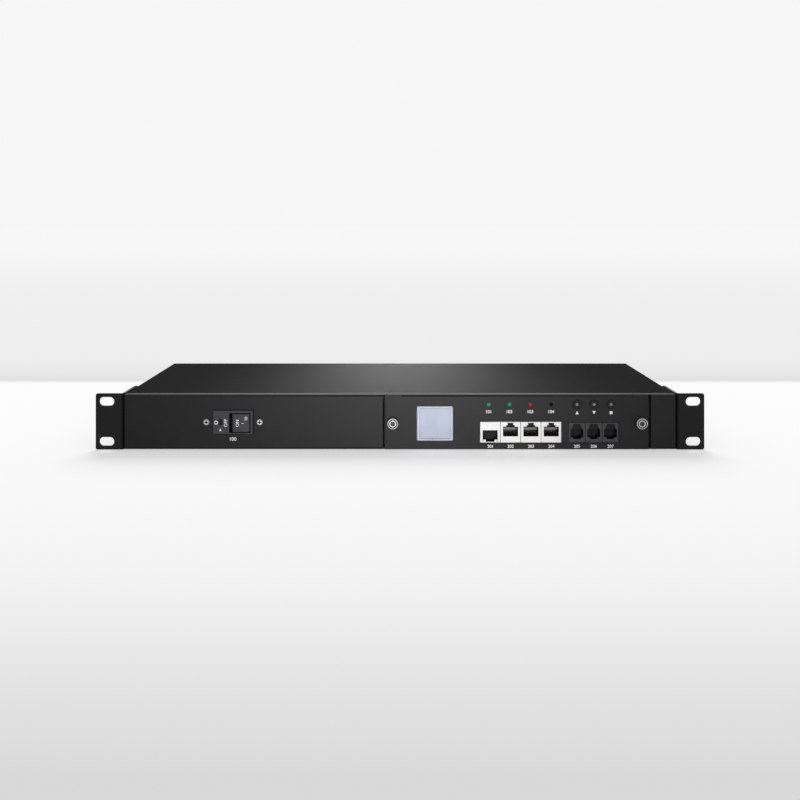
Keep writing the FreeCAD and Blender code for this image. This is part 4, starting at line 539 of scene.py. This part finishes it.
FLOOR_Z = CAD_BOX[0][2]


def middle(node):
    """Middle of a CAD node's box."""
    low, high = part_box(node)
    return (low + high) / 2


def object_place(tree):
    """X, Y and Z of the shaded point, in the frame of its own body."""
    place = add_node(tree, "SeparateXYZ")
    tree.links.new(add_node(tree, "TexCoord").outputs["Object"], place.inputs[0])
    return place.outputs


def recolour(material, share, rgb):
    """Turns the material's colour to rgb where the share is 1."""
    tree = material.node_tree
    colour_in = tree.nodes["Principled BSDF"].inputs["Base Color"]
    tree.links.new(blend_colours(tree, share, colour_in.links[0].from_socket, opaque(rgb)), colour_in)
    return material


def distance_to(tree, source, centre, pitch=None):
    """Distance along one axis from a middle, or from the nearest of a row of middles a pitch apart."""
    offset = calculate(tree, "SUBTRACT", source, centre)
    if pitch:
        offset = calculate(tree, "WRAP", offset, pitch / 2, -pitch / 2)
    return calculate(tree, "ABSOLUTE", offset)


def distance_round(tree, centre, pitch):
    """Distance from an axis along Y through the nearest of a row of middles a pitch apart along X."""
    place = object_place(tree)
    across = distance_to(tree, place["X"], centre.x, pitch)
    height = distance_to(tree, place["Z"], centre.z)
    squares = calculate(tree, "MULTIPLY_ADD", across, across, calculate(tree, "MULTIPLY", height, height))
    return calculate(tree, "SQRT", squares)


def shine_edge(material, rgb):
    """Painted highlight: paler paint along the front edge of the cover's top, by its place along Y and Z."""
    tree = material.node_tree
    place = object_place(tree)
    front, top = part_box("top_cover")[0].y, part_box("top_cover")[1].z
    ahead = ramp(tree, place["Y"], front + SOFT, front + CRISP)
    above = ramp(tree, place["Z"], top - COVER_EDGE_H - SOFT, top - COVER_EDGE_H)
    return recolour(material, calculate(tree, "MULTIPLY", ahead, above), rgb)


def shade_seams(material, rgb):
    """Dark paint at the front's ends, where it meets the ears, by the distance from the seams along X."""
    tree = material.node_tree
    place = object_place(tree)
    offset = calculate(tree, "SUBTRACT", distance_to(tree, place["X"], 0.0), SEAM_X)
    near = ramp(tree, calculate(tree, "ABSOLUTE", offset), SEAM_HALF, SEAM_HALF / 3)
    ahead = ramp(tree, place["Y"], FACE + SEAM_DEPTH + SOFT, FACE + SEAM_DEPTH)
    return recolour(material, calculate(tree, "MULTIPLY", near, ahead), rgb)


class RACK_OT_paint_case(bpy.types.Operator):
    """Powder coat on the sheets of the case, the module's panel and the ears"""
    bl_idname = "rack.paint_case"
    bl_label = "Paint Case"

    def execute(self, context):
        values = settings(context, "rack_paint")
        case, cover, ears = (
            grained(name, rgb, values.grain, 0.2, gloss, values.grain_depth, Specular_IOR_Level=shine)
            for name, rgb, gloss, shine in (("case_paint", values.case, 0.38, 0.1),
                                            ("cover_paint", values.cover, 0.82, 0.003),
                                            ("ear_paint", values.ears, 0.6, 0.12)))
        shine_edge(cover, values.edge)
        for paint in (case, ears):
            shade_seams(paint, values.seam)
        clothe(case, "base_tray", "rear_panel", "module_panel")
        clothe(cover, "top_cover", "cover_screws")
        clothe(ears, "left_ear_bracket", "right_ear_bracket")
        return {"FINISHED"}


def captive_material(values):
    """Dark knurled steel with painted highlights as bright rings on its front: told apart by their place along
    Y and by the distance from the nearer screw's axis."""
    material = brushed("captive_steel", values.captive, (900.0, 200.0, 900.0), 0.4, 0.55)
    tree = material.node_tree
    left, right = middle("left_captive_screw"), middle("right_captive_screw")
    radius = distance_round(tree, left, right.x - left.x)
    front = ramp(tree, object_place(tree)["Y"], KNOB_FACE + RING_DEPTH + SOFT, KNOB_FACE + RING_DEPTH)
    rings = 0.0
    for inner, outer in HIGHLIGHT_RINGS:
        past = ramp(tree, radius, inner, inner + CRISP)
        short = ramp(tree, radius, outer + CRISP, outer)
        rings = calculate(tree, "MAXIMUM", calculate(tree, "MULTIPLY", past, short), rings)
    return recolour(material, calculate(tree, "MULTIPLY", front, rings), values.captive_face)


def front_screw_material(values):
    """Plated screw heads whose cross recesses, behind the face of the heads, are dark."""
    material = brushed("front_screw", values.front_screw, EVEN_BRUSH, 0.35, 0.4)
    tree = material.node_tree
    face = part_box("breaker_screws")[0].y
    deep = ramp(tree, object_place(tree)["Y"], face + RECESS_DEPTH, face + RECESS_DEPTH + SOFT)
    return recolour(material, deep, values.recess)


def sheet_material(values):
    """Zinc-plated sheet, dark towards the front, where it lies in the shade of the module's seam."""
    material = brushed("plated_sheet", values.sheet, (60.0, 60.0, 1800.0), 0.3, 0.34)
    tree = material.node_tree
    end = FACE + FLANGE_REACH
    front = ramp(tree, object_place(tree)["Y"], end + FLANGE_FADE, end)
    return recolour(material, front, values.recess)


class RACK_OT_finish_metal(bpy.types.Operator):
    """Plated, blackened and bare metal on screws, inner sheets, contacts and busbars"""
    bl_idname = "rack.finish_metal"
    bl_label = "Finish Metal"

    def execute(self, context):
        values = settings(context, "rack_metal")
        clothe(brushed("bright_screw", values.screw, EVEN_BRUSH, 0.35, 0.26),
               "inlet_screws", "earth_stud", "board_fixings", "module_screws")
        clothe(front_screw_material(values), "breaker_screws")
        dark = grained("dark_screw", values.dark_screw, FINE_GRAIN, 0.2, 0.38, 0.01 * MM, Metallic=0.6)
        clothe(dark, "ear_screws")
        clothe(sheet_material(values), "clinch_nuts", "bay_left_wall", "bay_right_wall", "board_brackets")
        clothe(captive_material(values), "left_captive_screw", "right_captive_screw", "captive_collars")
        clothe(brushed("contact_brass", values.contact, (900.0, 90.0, 900.0), 0.35, 0.24),
               "jack_contacts", "inlet_pins", "breaker_terminals")
        clothe(brushed("copper_bar", values.copper, (40.0, 900.0, 1500.0), 0.4, 0.3),
               "live_busbar", "earth_busbar", "neutral_busbar")
        return {"FINISHED"}


def jack_material(name, rgb, inside, nodes, carrier=None):
    """A jack's plastic, with painted shade in its hollow: inside each housing's own box by half a wall, told by
    the distance from the nearest jack's middle along X and from the row's middle along Y and Z. A painted
    highlight is a paler band across the hollow's back wall."""
    material = moulded(name, rgb, 0.5, Specular_IOR_Level=0.15)
    tree = material.node_tree
    low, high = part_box(nodes[0])
    centre, half = (low + high) / 2, (high - low) / 2
    pitch = middle(nodes[1]).x - centre.x
    place = object_place(tree)
    inner = 1.0
    for index, (row_pitch, wall) in enumerate(((pitch, 2 * JACK_WALL), (None, JACK_WALL), (None, JACK_WALL))):
        distance = distance_to(tree, place[index], centre[index], row_pitch)
        reach = half[index] - wall
        inner = calculate(tree, "MULTIPLY", ramp(tree, distance, reach, reach - SOFT), inner)
    recolour(material, inner, inside)
    if carrier:
        rise = distance_to(tree, place["Z"], JACK_HIGHLIGHT_Z)
        band = ramp(tree, rise, JACK_HIGHLIGHT_REACH, JACK_HIGHLIGHT_REACH / 2)
        band = calculate(tree, "MULTIPLY", band, ramp(tree, place["Y"], JACK_HIGHLIGHT_Y - SOFT, JACK_HIGHLIGHT_Y))
        recolour(material, calculate(tree, "MULTIPLY", band, inner), carrier)
    return material


def breaker_material(values):
    """The breaker's plastic, dark behind its face and along the shaded gap at the face's top and right."""
    material = moulded("breaker_plastic", values.breaker, Specular_IOR_Level=0.15)
    tree = material.node_tree
    place, centre = object_place(tree), middle("breaker_case")
    dark = ramp(tree, place["Y"], BREAKER_FACE + CRISP, BREAKER_FACE + SOFT)
    for axis, edge in (("X", centre.x + BREAKER_W / 2), ("Z", centre.z + BREAKER_H / 2)):
        rim = ramp(tree, place[axis], edge - GAP_SHADE, edge - GAP_SHADE + SOFT)
        dark = calculate(tree, "MAXIMUM", dark, rim)
    return recolour(material, dark, values.deep)


def key_material(values):
    """A key: painted highlight in the middle, painted shade in a ring, a grey rim; by distance from the nearest
    key's axis.
    """
    material = moulded("key_grey", values.key, 0.4, Specular_IOR_Level=0.2)
    tree = material.node_tree
    first, second = middle(KEYS[0]), middle(KEYS[1])
    radius = distance_round(tree, first, second.x - first.x)
    recolour(material, ramp(tree, radius, KEY_HIGHLIGHT_R, KEY_HIGHLIGHT_R + SOFT), values.deep)
    return recolour(material, ramp(tree, radius, KEY_SHADE_R, KEY_SHADE_R + SOFT), values.dish)


class RACK_OT_finish_plastic(bpy.types.Operator):
    """Moulded plastic on the breaker, rear sockets, jacks, guides, lamps and keys"""
    bl_idname = "rack.finish_plastic"
    bl_label = "Finish Plastic"

    def execute(self, context):
        values = settings(context, "rack_plastic")
        clothe(breaker_material(values), "breaker_case")
        clothe(moulded("rocker_plastic", values.rocker, 0.4, Specular_IOR_Level=0.2), "breaker_rocker")
        clothe(moulded("socket_plastic", values.socket), "outlets_left", "outlets_right", "inlet_housing",
               "supply_module")
        clothe(moulded("guide_plastic", values.socket, 0.55), "card_guides", "edge_socket")
        for name, rgb, nodes, carrier in (("jack_white", values.white_jack, WIDE_JACKS, values.carrier),
                                          ("jack_grey", values.grey_jack, NARROW_JACKS, None)):
            clothe(jack_material(name, rgb, values.deep, nodes, carrier), *nodes)
        clothe(key_material(values), *KEYS)
        black = moulded("reset_black", values.deep, 0.8, Specular_IOR_Level=0.1)
        clothe(black, "reset_plunger", "key_switches")
        for name, rgb, node in (("lamp_green", values.green_lamp, "status_lamps"),
                                ("lamp_red", values.red_lamp, "alarm_lamp")):
            clothe(moulded(name, rgb, 0.2, Emission_Color=opaque(rgb), Emission_Strength=0.2,
                           Specular_IOR_Level=0.1), node)
        clothe(moulded("lamp_amber", srgb(214, 214, 190), 0.2, Coat_Weight=0.4), "net_lamps")
        return {"FINISHED"}


class RACK_OT_finish_display(bpy.types.Operator):
    """Pale frame and filmed window of the display, and the grey glass behind it"""
    bl_idname = "rack.finish_display"
    bl_label = "Finish Display"

    def execute(self, context):
        values = settings(context, "rack_plastic")
        clothe(moulded("bezel_pale", values.bezel, 0.22), "display_bezel")
        clothe(moulded("window_film", values.film, 0.16, Coat_Weight=0.3), "display_window")
        clothe(moulded("lcd_grey", values.film, 0.3), "lcd_module")
        return {"FINISHED"}


TRACK_BLOCKS = (("X", 11.0 * MM), ("Y", 8.0 * MM))    # blocks of tracks on the boards
TRACK_PITCH = 1.4 * MM
TRACK_CORE, TRACK_EDGE = 0.12 * MM, 0.2 * MM          # half of a track, without and with its soft edge
TRACK_SHARE = 0.3                                     # how far the tracks pale the solder mask


def board_material(values):
    """Solder mask over copper: bundles of parallel tracks, block by block along X, along Y or left out."""
    material = grained("board_green", values.board, 1500.0, 0.3, 0.36, 0.01 * MM)
    tree = material.node_tree
    place = object_place(tree)
    corner = add_node(tree, "CombineXYZ")
    for axis, size in TRACK_BLOCKS:
        step = calculate(tree, "FLOOR", calculate(tree, "DIVIDE", place[axis], size))
        tree.links.new(step, corner.inputs[axis])
    patch = add_node(tree, "TexWhiteNoise", noise_dimensions="2D")
    tree.links.new(corner.outputs[0], patch.inputs["Vector"])
    tracks = 0.0
    for axis, test, limit in (("Y", "GREATER_THAN", 0.6), ("X", "LESS_THAN", 0.35)):
        chosen = calculate(tree, test, patch.outputs["Value"], limit)
        wave = calculate(tree, "PINGPONG", place[axis], TRACK_PITCH / 2)
        line = ramp(tree, wave, TRACK_EDGE, TRACK_CORE, 0.0, TRACK_SHARE)
        tracks = calculate(tree, "MULTIPLY_ADD", line, chosen, tracks)
    return recolour(material, tracks, srgb(120, 190, 130))


CORE_R, CORE_GROOVE = 0.64 * MM, 0.2 * MM             # half of a flat cable's core, and of a groove
RED_EDGE, RED_FADE = 2.4 * MM, 0.3 * MM               # width of the red edge core, and of its inner border


def ribbon_material():
    """Flat cable: cores side by side across Y, with a red edge core."""
    material = moulded("ribbon_grey", srgb(150, 150, 153), 0.45)
    tree = material.node_tree
    across = object_place(tree)["Y"]
    cores = calculate(tree, "PINGPONG", across, CORE_R)
    recolour(material, ramp(tree, cores, CORE_GROOVE, 0.0), srgb(96, 96, 100))
    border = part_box("ribbon_cable")[0].y + RED_EDGE
    return recolour(material, ramp(tree, across, border, border - RED_FADE), srgb(190, 40, 40))


# Insulation and resin inside the case: material, display colour, roughness and node
INSIDE_PLASTICS = (("live_cover", (104, 66, 40), 0.4, "live_leads"),
                   ("neutral_cover", (40, 84, 168), 0.4, "neutral_lead"),
                   ("earth_cover", (120, 168, 52), 0.4, "earth_lead"),
                   ("sensor_plastic", (42, 50, 82), 0.5, "current_transformer"))


class RACK_OT_finish_inside(bpy.types.Operator):
    """Insulation on the leads and cable, solder mask on the boards, resin on the current sensor"""
    bl_idname = "rack.finish_inside"
    bl_label = "Finish Inside"

    def execute(self, context):
        values = settings(context, "rack_plastic")
        for name, rgb, gloss, node in INSIDE_PLASTICS:
            clothe(moulded(name, srgb(*rgb), gloss), node)
        clothe(board_material(values), "control_board", "indicator_board", "meter_board")
        clothe(ribbon_material(), "ribbon_cable")
        return {"FINISHED"}


# Signs on the breaker's face: piece, outline, millimetres right of its middle and up, share of the inner edge
BREAKER_SIGNS = (("breaker_ring", ring_outline(1.5 * MM), -13.5, -0.8, 0.62),
                 ("breaker_arrow", arrow_outline(1.9 * MM, 2.2 * MM), -10.0, -6.4, 0.0))
FIRST_LAMP_NUMBER, FIRST_JACK_NUMBER = 101, 201
SIGN_SHARE, SQUARE_SHARE = 0.75, 0.85                 # keys' signs to numbers, square to arrows
DOT_R, DOT_LEFT, DOT_UP = 0.35 * MM, 1.9 * MM, 1.4 * MM   # dot at the lower edge of the display's frame


class RACK_OT_print_marks(bpy.types.Operator):
    """Plain numbers and signs on the panel, and on and off marks on the breaker"""
    bl_idname = "rack.print_marks"
    bl_label = "Print Marks"

    def execute(self, context):
        values = settings(context, "rack_marks")
        ink = moulded("mark_ink", values.ink, 0.5)
        face = FACE - values.lift
        low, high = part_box("status_lamps")
        radius = (high.z - low.z) / 2
        spots = (low.x + radius, high.x - radius, middle("alarm_lamp").x, middle("reset_plunger").x)
        for number, x in enumerate(spots, FIRST_LAMP_NUMBER):
            place = (x, face, middle("status_lamps").z - values.lamp_drop)
            mark = lettering(f"lamp_mark_{number}", str(number), values.row_size, place, ink, values.weight)
            adopt(mark, "control_module")
        size = values.row_size * SIGN_SHARE
        shapes = (arrow_outline(size, size), arrow_outline(size, -size), square_outline(size * SQUARE_SHARE))
        for node, shape in zip(KEYS, shapes):
            mark = badge(node + "_mark", shape, (middle(node).x, face, middle(node).z - values.key_drop), ink)
            adopt(mark, "control_module")
        for number, node in enumerate(WIDE_JACKS + NARROW_JACKS, FIRST_JACK_NUMBER):
            place = (middle(node).x, face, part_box(WIDE_JACKS[0])[0].z - values.jack_drop)
            mark = lettering(f"jack_mark_{number}", str(number), values.jack_size, place, ink, values.weight)
            adopt(mark, "control_module")
        self.mark_breaker(values, ink)
        place = (middle("display_bezel").x - DOT_LEFT, BEZEL_FACE - values.lift,
                 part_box("display_bezel")[0].z + DOT_UP)
        dot = badge("bezel_dot", ring_outline(DOT_R, 16), place, moulded("dot_grey", srgb(70, 74, 86)))
        adopt(dot, "control_module")
        return {"FINISHED"}

    def mark_breaker(self, values, ink):
        """Ring, arrow and letters on the fixed face, a number below it, and letters on the rocker."""
        x = middle("breaker_case").x
        y = BREAKER_FACE - values.lift
        for name, outline, right, up, inner in BREAKER_SIGNS:
            mark = badge(name, outline, (x + right * MM, y, up * MM), ink, inner)
            adopt(mark, "chassis")
        thin = values.weight / 2
        for name, text, grow, right, up, face, weight, upright, body in (
                ("breaker_off", "OFF", 1.25, -5.9, -1.0, BREAKER_FACE, thin, False, "chassis"),
                ("breaker_number", "100", 1.35, 0.0, -13.9, FACE, values.weight, True, "chassis"),
                ("rocker_on", "ON", 1.25, 3.5, -1.2, ROCKER_FACE, thin, False, "breaker_rocker"),
                ("rocker_line", "I", 1.0, 7.6, -1.4, ROCKER_FACE, thin, False, "breaker_rocker"),
                ("rocker_ten", "10", 1.1, 10.3, 2.6, ROCKER_FACE, thin, False, "breaker_rocker")):
            place = (x + right * MM, face - values.lift, up * MM)
            mark = lettering(name, text, values.breaker_size * grow, place, ink, weight, upright)
            adopt(mark, body)


# Parts on the control board, in millimetres
# Chips: middle x and y, width, depth, height, and how many legs on each long side
CHIPS = ((98.0, 58.0, 20.0, 20.0, 1.7, 18), (58.0, 44.0, 13.0, 8.0, 1.6, 9),
         (142.0, 40.0, 11.0, 7.6, 1.5, 7), (28.0, 40.0, 16.0, 9.0, 1.8, 11), (150.0, 76.0, 9.0, 6.0, 1.4, 4))
# Capacitors: middle x and y, radius and height
CANS = ((30.0, 74.0, 5.0, 11.0), (44.0, 74.0, 5.0, 11.0), (166.0, 58.0, 4.0, 8.5), (166.0, 70.0, 4.0, 8.5),
        (60.0, 88.0, 3.2, 6.0))
CAN_SMOOTH, THREAD_SMOOTH = 35.0, 30.0                # degrees
# Rows of small parts: first x, y and how many; then their width, depth, height, corner radius and bevel
SMALL_ROWS = ((74.0, 80.0, 9), (116.0, 74.0, 7), (76.0, 36.0, 8), (120.0, 90.0, 10), (20.0, 56.0, 6))
SMALL_SIZES = (1.3, 2.2, 0.8, 0.15, 0.1)
SMALL_PITCH = 2.6
CHIP_RISE, CHIP_CORNER, CHIP_BEVEL = 0.12, 0.4, 0.25
CHIP_LEG_W, CHIP_LEG_T, CHIP_LEG_INSET = 0.42, 0.15, 1.2


class RACK_OT_board_parts(bpy.types.Operator):
    """Chips with gull-wing legs, tin cans of the capacitors and rows of small parts on the control board"""
    bl_idname = "rack.board_parts"
    bl_label = "Board Parts"

    def execute(self, context):
        values = settings(context, "rack_metal")
        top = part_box("control_board")[1].z
        black = moulded("chip_black", srgb(30, 30, 33), 0.5)
        tin = brushed("part_tin", values.screw, (900.0, 900.0, 300.0), 0.3, 0.3)
        cream = moulded("part_cream", srgb(178, 164, 132), 0.45)
        for number, (x, y, width, depth, height, legs) in enumerate(CHIPS, 1):
            at = (x * MM, y * MM, top + CHIP_RISE * MM)
            points, faces = many(*block(width, depth, height, CHIP_CORNER, CHIP_BEVEL), [at])
            adopt(solid_object(f"chip_{number}", points, faces, black), "control_module")
            points, faces = self.legs(x, y, width, depth, height, legs, top)
            adopt(solid_object(f"chip_legs_{number}", points, faces, tin), "control_module")
        for number, (x, y, radius, height) in enumerate(CANS, 1):
            r, h = radius * MM, height * MM
            profile = [(r * 0.94, 0), (r, 0.3 * MM), (r, 0.9 * MM), (r * 0.95, 1.3 * MM), (r, 1.7 * MM),
                       (r, h - 0.5 * MM), (r * 0.9, h), (r * 0.86, h), (r * 0.84, h - 0.25 * MM)]
            points, faces = many(*revolved(profile), [(x * MM, y * MM, top)])
            can = solid_object(f"capacitor_{number}", points, faces, tin, CAN_SMOOTH)
            adopt(can, "control_module")
        spots = np.concatenate([np.stack([x + SMALL_PITCH * np.arange(count), np.full(count, y)], axis=1)
                                for x, y, count in SMALL_ROWS])
        spots = np.hstack([spots * MM, np.full((len(spots), 1), top)])
        points, faces = many(*block(*SMALL_SIZES), spots)
        adopt(solid_object("small_parts", points, faces, cream), "control_module")
        return {"FINISHED"}

    def legs(self, x, y, width, depth, height, count, top):
        """Gull-wing legs: one strip bent out, down and out again, copied along both long sides."""
        bend = np.array([(-0.2, 0.55 * height), (0.45, 0.55 * height), (0.7, 0.45 * height), (0.95, 0.14),
                         (1.25, 0.08), (1.75, 0.08)]) * MM
        points, faces = strip(bend, CHIP_LEG_W * MM, CHIP_LEG_T * MM)
        along = (np.arange(count) - (count - 1) / 2) * (width - CHIP_LEG_INSET) / (count - 1) * MM
        base = np.stack([x * MM + along, np.zeros(count), np.full(count, top)], axis=1)
        rear = many(points, faces, base + (0, (y + depth / 2) * MM, 0))
        front = many(points * (-1, -1, 1), faces, base + (0, (y - depth / 2) * MM, 0))
        shifted = [[i + len(rear[0]) for i in face] for face in front[1]]
        return np.vstack([rear[0], front[0]]), rear[1] + shifted


THREAD_PITCH, THREAD_RISE = 0.7 * MM, 0.07 * MM
THREAD_SINK = 0.02 * MM                               # foot of the thread under the shank's surface
THREAD_HALF = 0.28                                    # half of the thread's foot, as a share of its pitch
THREAD_STEPS = 24                                     # per turn
THREAD_START, THREAD_END = 9.0 * MM, 0.8 * MM         # from the end of the shank
SHANK_R = 2.0 * MM


class RACK_OT_captive_threads(bpy.types.Operator):
    """Fine threads on the ends of the captive screws' shanks"""
    bl_idname = "rack.captive_threads"
    bl_label = "Captive Threads"

    def execute(self, context):
        values = settings(context, "rack_metal")
        steel = brushed("thread_steel", values.captive, (900.0, 900.0, 900.0), 0.3, 0.3)
        for node in ("left_captive_screw", "right_captive_screw"):
            axis, end = middle(node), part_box(node)[1].y
            points, faces = self.ridge(axis.x, axis.z, end - THREAD_START, end - THREAD_END)
            piece = solid_object(node + "_thread", points, faces, steel, THREAD_SMOOTH)
            adopt(piece, node)
        return {"FINISHED"}

    def ridge(self, x, z, start, end):
        """A thread: a triangle carried along a helix, its apex out by the rise, which fades over the first
        and the last half turn, and its foot just under the shank's surface."""
        turns = (end - start) / THREAD_PITCH
        angle = np.linspace(0.0, 2 * math.pi * turns, int(THREAD_STEPS * turns))
        rise = THREAD_RISE * np.clip(np.minimum(angle, angle[-1] - angle) / math.pi, 0.05, 1.0)
        foot = np.full_like(angle, SHANK_R - THREAD_SINK)
        reach = np.stack([foot, SHANK_R + rise, foot], axis=1)
        lead = np.array([-THREAD_HALF, 0.0, THREAD_HALF]) * THREAD_PITCH
        y = start + THREAD_PITCH * angle[:, None] / (2 * math.pi) + lead
        across, up = reach * np.cos(angle)[:, None], reach * np.sin(angle)[:, None]
        return capped(np.stack([x + across, y, z + up], axis=-1))


# Tones of the floor: metres behind the origin, and display tone; the step is the backdrop's lower edge
FLOOR_TONES = ((-0.563, 216), (-0.375, 240), (-0.248, 246), (0.1, 252), (0.395, 252), (0.397, 223),
               (0.467, 231), (0.611, 237), (0.875, 238), (2.0, 239), (6.0, 246))
FLOOR_REACH = 60.0


def seen_rays(tree):
    """1 for rays from the camera, from mirrors and through glass, else 0."""
    path = add_node(tree, "LightPath")
    seen = path.outputs["Is Camera Ray"]
    for label in ("Is Glossy Ray", "Is Transmission Ray"):
        seen = calculate(tree, "MAXIMUM", seen, path.outputs[label])
    return seen


def floor_material(values):
    """Matt floor in tones that change along Y; part of each tone is seen without light, so that it stays
    pale."""
    material = bpy.data.materials.new("stage_floor")
    material.use_nodes = True
    tree = material.node_tree
    shader = tree.nodes["Principled BSDF"]
    shader.inputs["Roughness"].default_value = 0.9
    shader.inputs["Specular IOR Level"].default_value = 0.0
    start, end = FLOOR_TONES[0][0], FLOOR_TONES[-1][0]
    tones = add_node(tree, "ValToRGB")
    tree.links.new(ramp(tree, object_place(tree)["Y"], start, end), tones.inputs["Fac"])
    while len(tones.color_ramp.elements) < len(FLOOR_TONES):
        tones.color_ramp.elements.new(0.5)
    for element, (y, tone) in zip(tones.color_ramp.elements, FLOOR_TONES):
        element.position = (y - start) / (end - start)
        element.color = opaque(srgb(tone, tone, tone))
    for label in ("Base Color", "Emission Color"):
        tree.links.new(tones.outputs["Color"], shader.inputs[label])
    glow = ramp(tree, seen_rays(tree), 0.0, 1.0, 0.0, values.glow)
    tree.links.new(glow, shader.inputs["Emission Strength"])
    return material


def area_light(name, place, target, sizes, spread, watts):
    """A soft rectangular lamp aimed at a point, with its beam's spread in degrees."""
    data = bpy.data.lights.new(name, "AREA")
    data.shape = "RECTANGLE"
    data.size, data.size_y = sizes
    data.spread = math.radians(spread)
    data.energy = watts
    lamp = linked(name, data)
    lamp.location = place
    aim = Vector(target) - Vector(place)
    lamp.rotation_euler = aim.to_track_quat("-Z", "Y").to_euler()
    return lamp


# Lamps: name, place, target, width and height, spread in degrees, and the setting that holds the power.
# The side lamps are level with the case and behind its front, so that they reach its sides only.
LAMPS = (("stage_front", (0.04, -1.1, 0.05), (0.0, FACE, 0.02), (0.2, 0.06), 30.0, "key_power"),
         ("stage_rear", (0.0, 1.4, 0.3), (0.0, 0.1, 0.022), (0.1, 0.1), 14.0, "rear_power"),
         ("stage_left", (-1.25, 0.11, 0.0), (0.0, 0.11, 0.0), (0.2, 0.04), 26.0, "side_power"),
         ("stage_right", (1.25, 0.11, 0.0), (0.0, 0.11, 0.0), (0.2, 0.04), 26.0, "side_power"))
SUN_ANGLE, SUN_TILT = math.radians(40), math.radians(-54)     # width of the sun, and its turn about X
SENSOR_W = 36.0                                       # millimetres


def spare_floor(floor, lamps):
    """Keeps the lamps' light off the floor, whose tones then stay even, by a light-linking collection."""
    unlit = bpy.data.collections.new("stage_unlit")
    unlit.objects.link(floor)
    unlit.collection_objects[0].light_linking.link_state = "EXCLUDE"
    for lamp in lamps:
        lamp.light_linking.receiver_collection = unlit


def sky_world(strength):
    """Even grey light all round, seen as white by the camera and in reflections."""
    world = bpy.data.worlds.new("stage_sky")
    world.use_nodes = True
    tree = world.node_tree
    tree.nodes.clear()
    tone = FLOOR_TONES[-1][1]
    light = add_node(tree, "Background", Color=(1, 1, 1, 1), Strength=strength)
    white = add_node(tree, "Background", Color=opaque(srgb(tone, tone, tone)), Strength=1.0)
    mix = add_node(tree, "MixShader")
    tree.links.new(seen_rays(tree), mix.inputs[0])
    tree.links.new(light.outputs[0], mix.inputs[1])
    tree.links.new(white.outputs[0], mix.inputs[2])
    tree.links.new(mix.outputs[0], add_node(tree, "OutputWorld").inputs["Surface"])
    return world


class RACK_OT_stage(bpy.types.Operator):
    """Pale floor, soft light and the camera of the photograph"""
    bl_idname = "rack.stage"
    bl_label = "Stage"

    def execute(self, context):
        values = settings(context, "rack_stage")
        scene = context.scene
        scene.view_settings.view_transform = "Standard"
        side = np.linspace(-FLOOR_REACH, FLOOR_REACH, 2)
        x, y = np.meshgrid(side, side)
        points = np.stack([x, y, np.full_like(x, FLOOR_Z)], axis=-1).reshape(-1, 3)
        floor = solid_object("stage_floor", points, grid_faces(2, 2).tolist(), floor_material(values))
        sun = bpy.data.lights.new("stage_sun", "SUN")
        sun.energy, sun.angle = values.sun, SUN_ANGLE
        linked("stage_sun", sun).rotation_euler = (SUN_TILT, 0, 0)
        spare_floor(floor, [area_light(*lamp, getattr(values, setting)) for *lamp, setting in LAMPS])
        scene.world = sky_world(values.sky)
        camera = bpy.data.cameras.new("stage_camera")
        camera.sensor_width = SENSOR_W
        camera.lens, camera.shift_y = values.lens, values.shift
        eye = linked("stage_camera", camera)
        eye.location = (0.0, FACE - values.distance, values.height)
        eye.rotation_euler = (math.pi / 2, 0, 0)
        scene.camera = eye
        return {"FINISHED"}


class RACK_PT_unit(bpy.types.Panel):
    """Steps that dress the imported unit, in order"""
    bl_idname = "RACK_PT_unit"
    bl_label = "Rack Unit"
    bl_space_type = "VIEW_3D"
    bl_region_type = "UI"
    bl_category = "Rack Unit"

    def draw(self, context):
        layout = self.layout
        for operator in OPERATORS:
            layout.operator(operator.bl_idname)
        for name, group in SETTINGS.items():
            box = layout.box()
            for field in group.__annotations__:
                box.prop(getattr(context.scene, name), field)


OPERATORS = (RACK_OT_paint_case, RACK_OT_finish_metal, RACK_OT_finish_plastic, RACK_OT_finish_display,
             RACK_OT_finish_inside, RACK_OT_print_marks, RACK_OT_board_parts, RACK_OT_captive_threads,
             RACK_OT_stage)
CLASSES = tuple(SETTINGS.values()) + OPERATORS + (RACK_PT_unit,)


def register():
    for cls in CLASSES:
        bpy.utils.register_class(cls)
    for name, group in SETTINGS.items():
        setattr(bpy.types.Scene, name, PointerProperty(type=group))


def unregister():
    for name in SETTINGS:
        delattr(bpy.types.Scene, name)
    for cls in reversed(CLASSES):
        bpy.utils.unregister_class(cls)


def main():
    register()
    bpy.ops.rack.paint_case()
    bpy.ops.rack.finish_metal()
    bpy.ops.rack.finish_plastic()
    bpy.ops.rack.finish_display()
    bpy.ops.rack.finish_inside()
    bpy.ops.rack.print_marks()
    bpy.ops.rack.board_parts()
    bpy.ops.rack.captive_threads()
    bpy.ops.rack.stage()


if __name__ == "__main__":
    main()
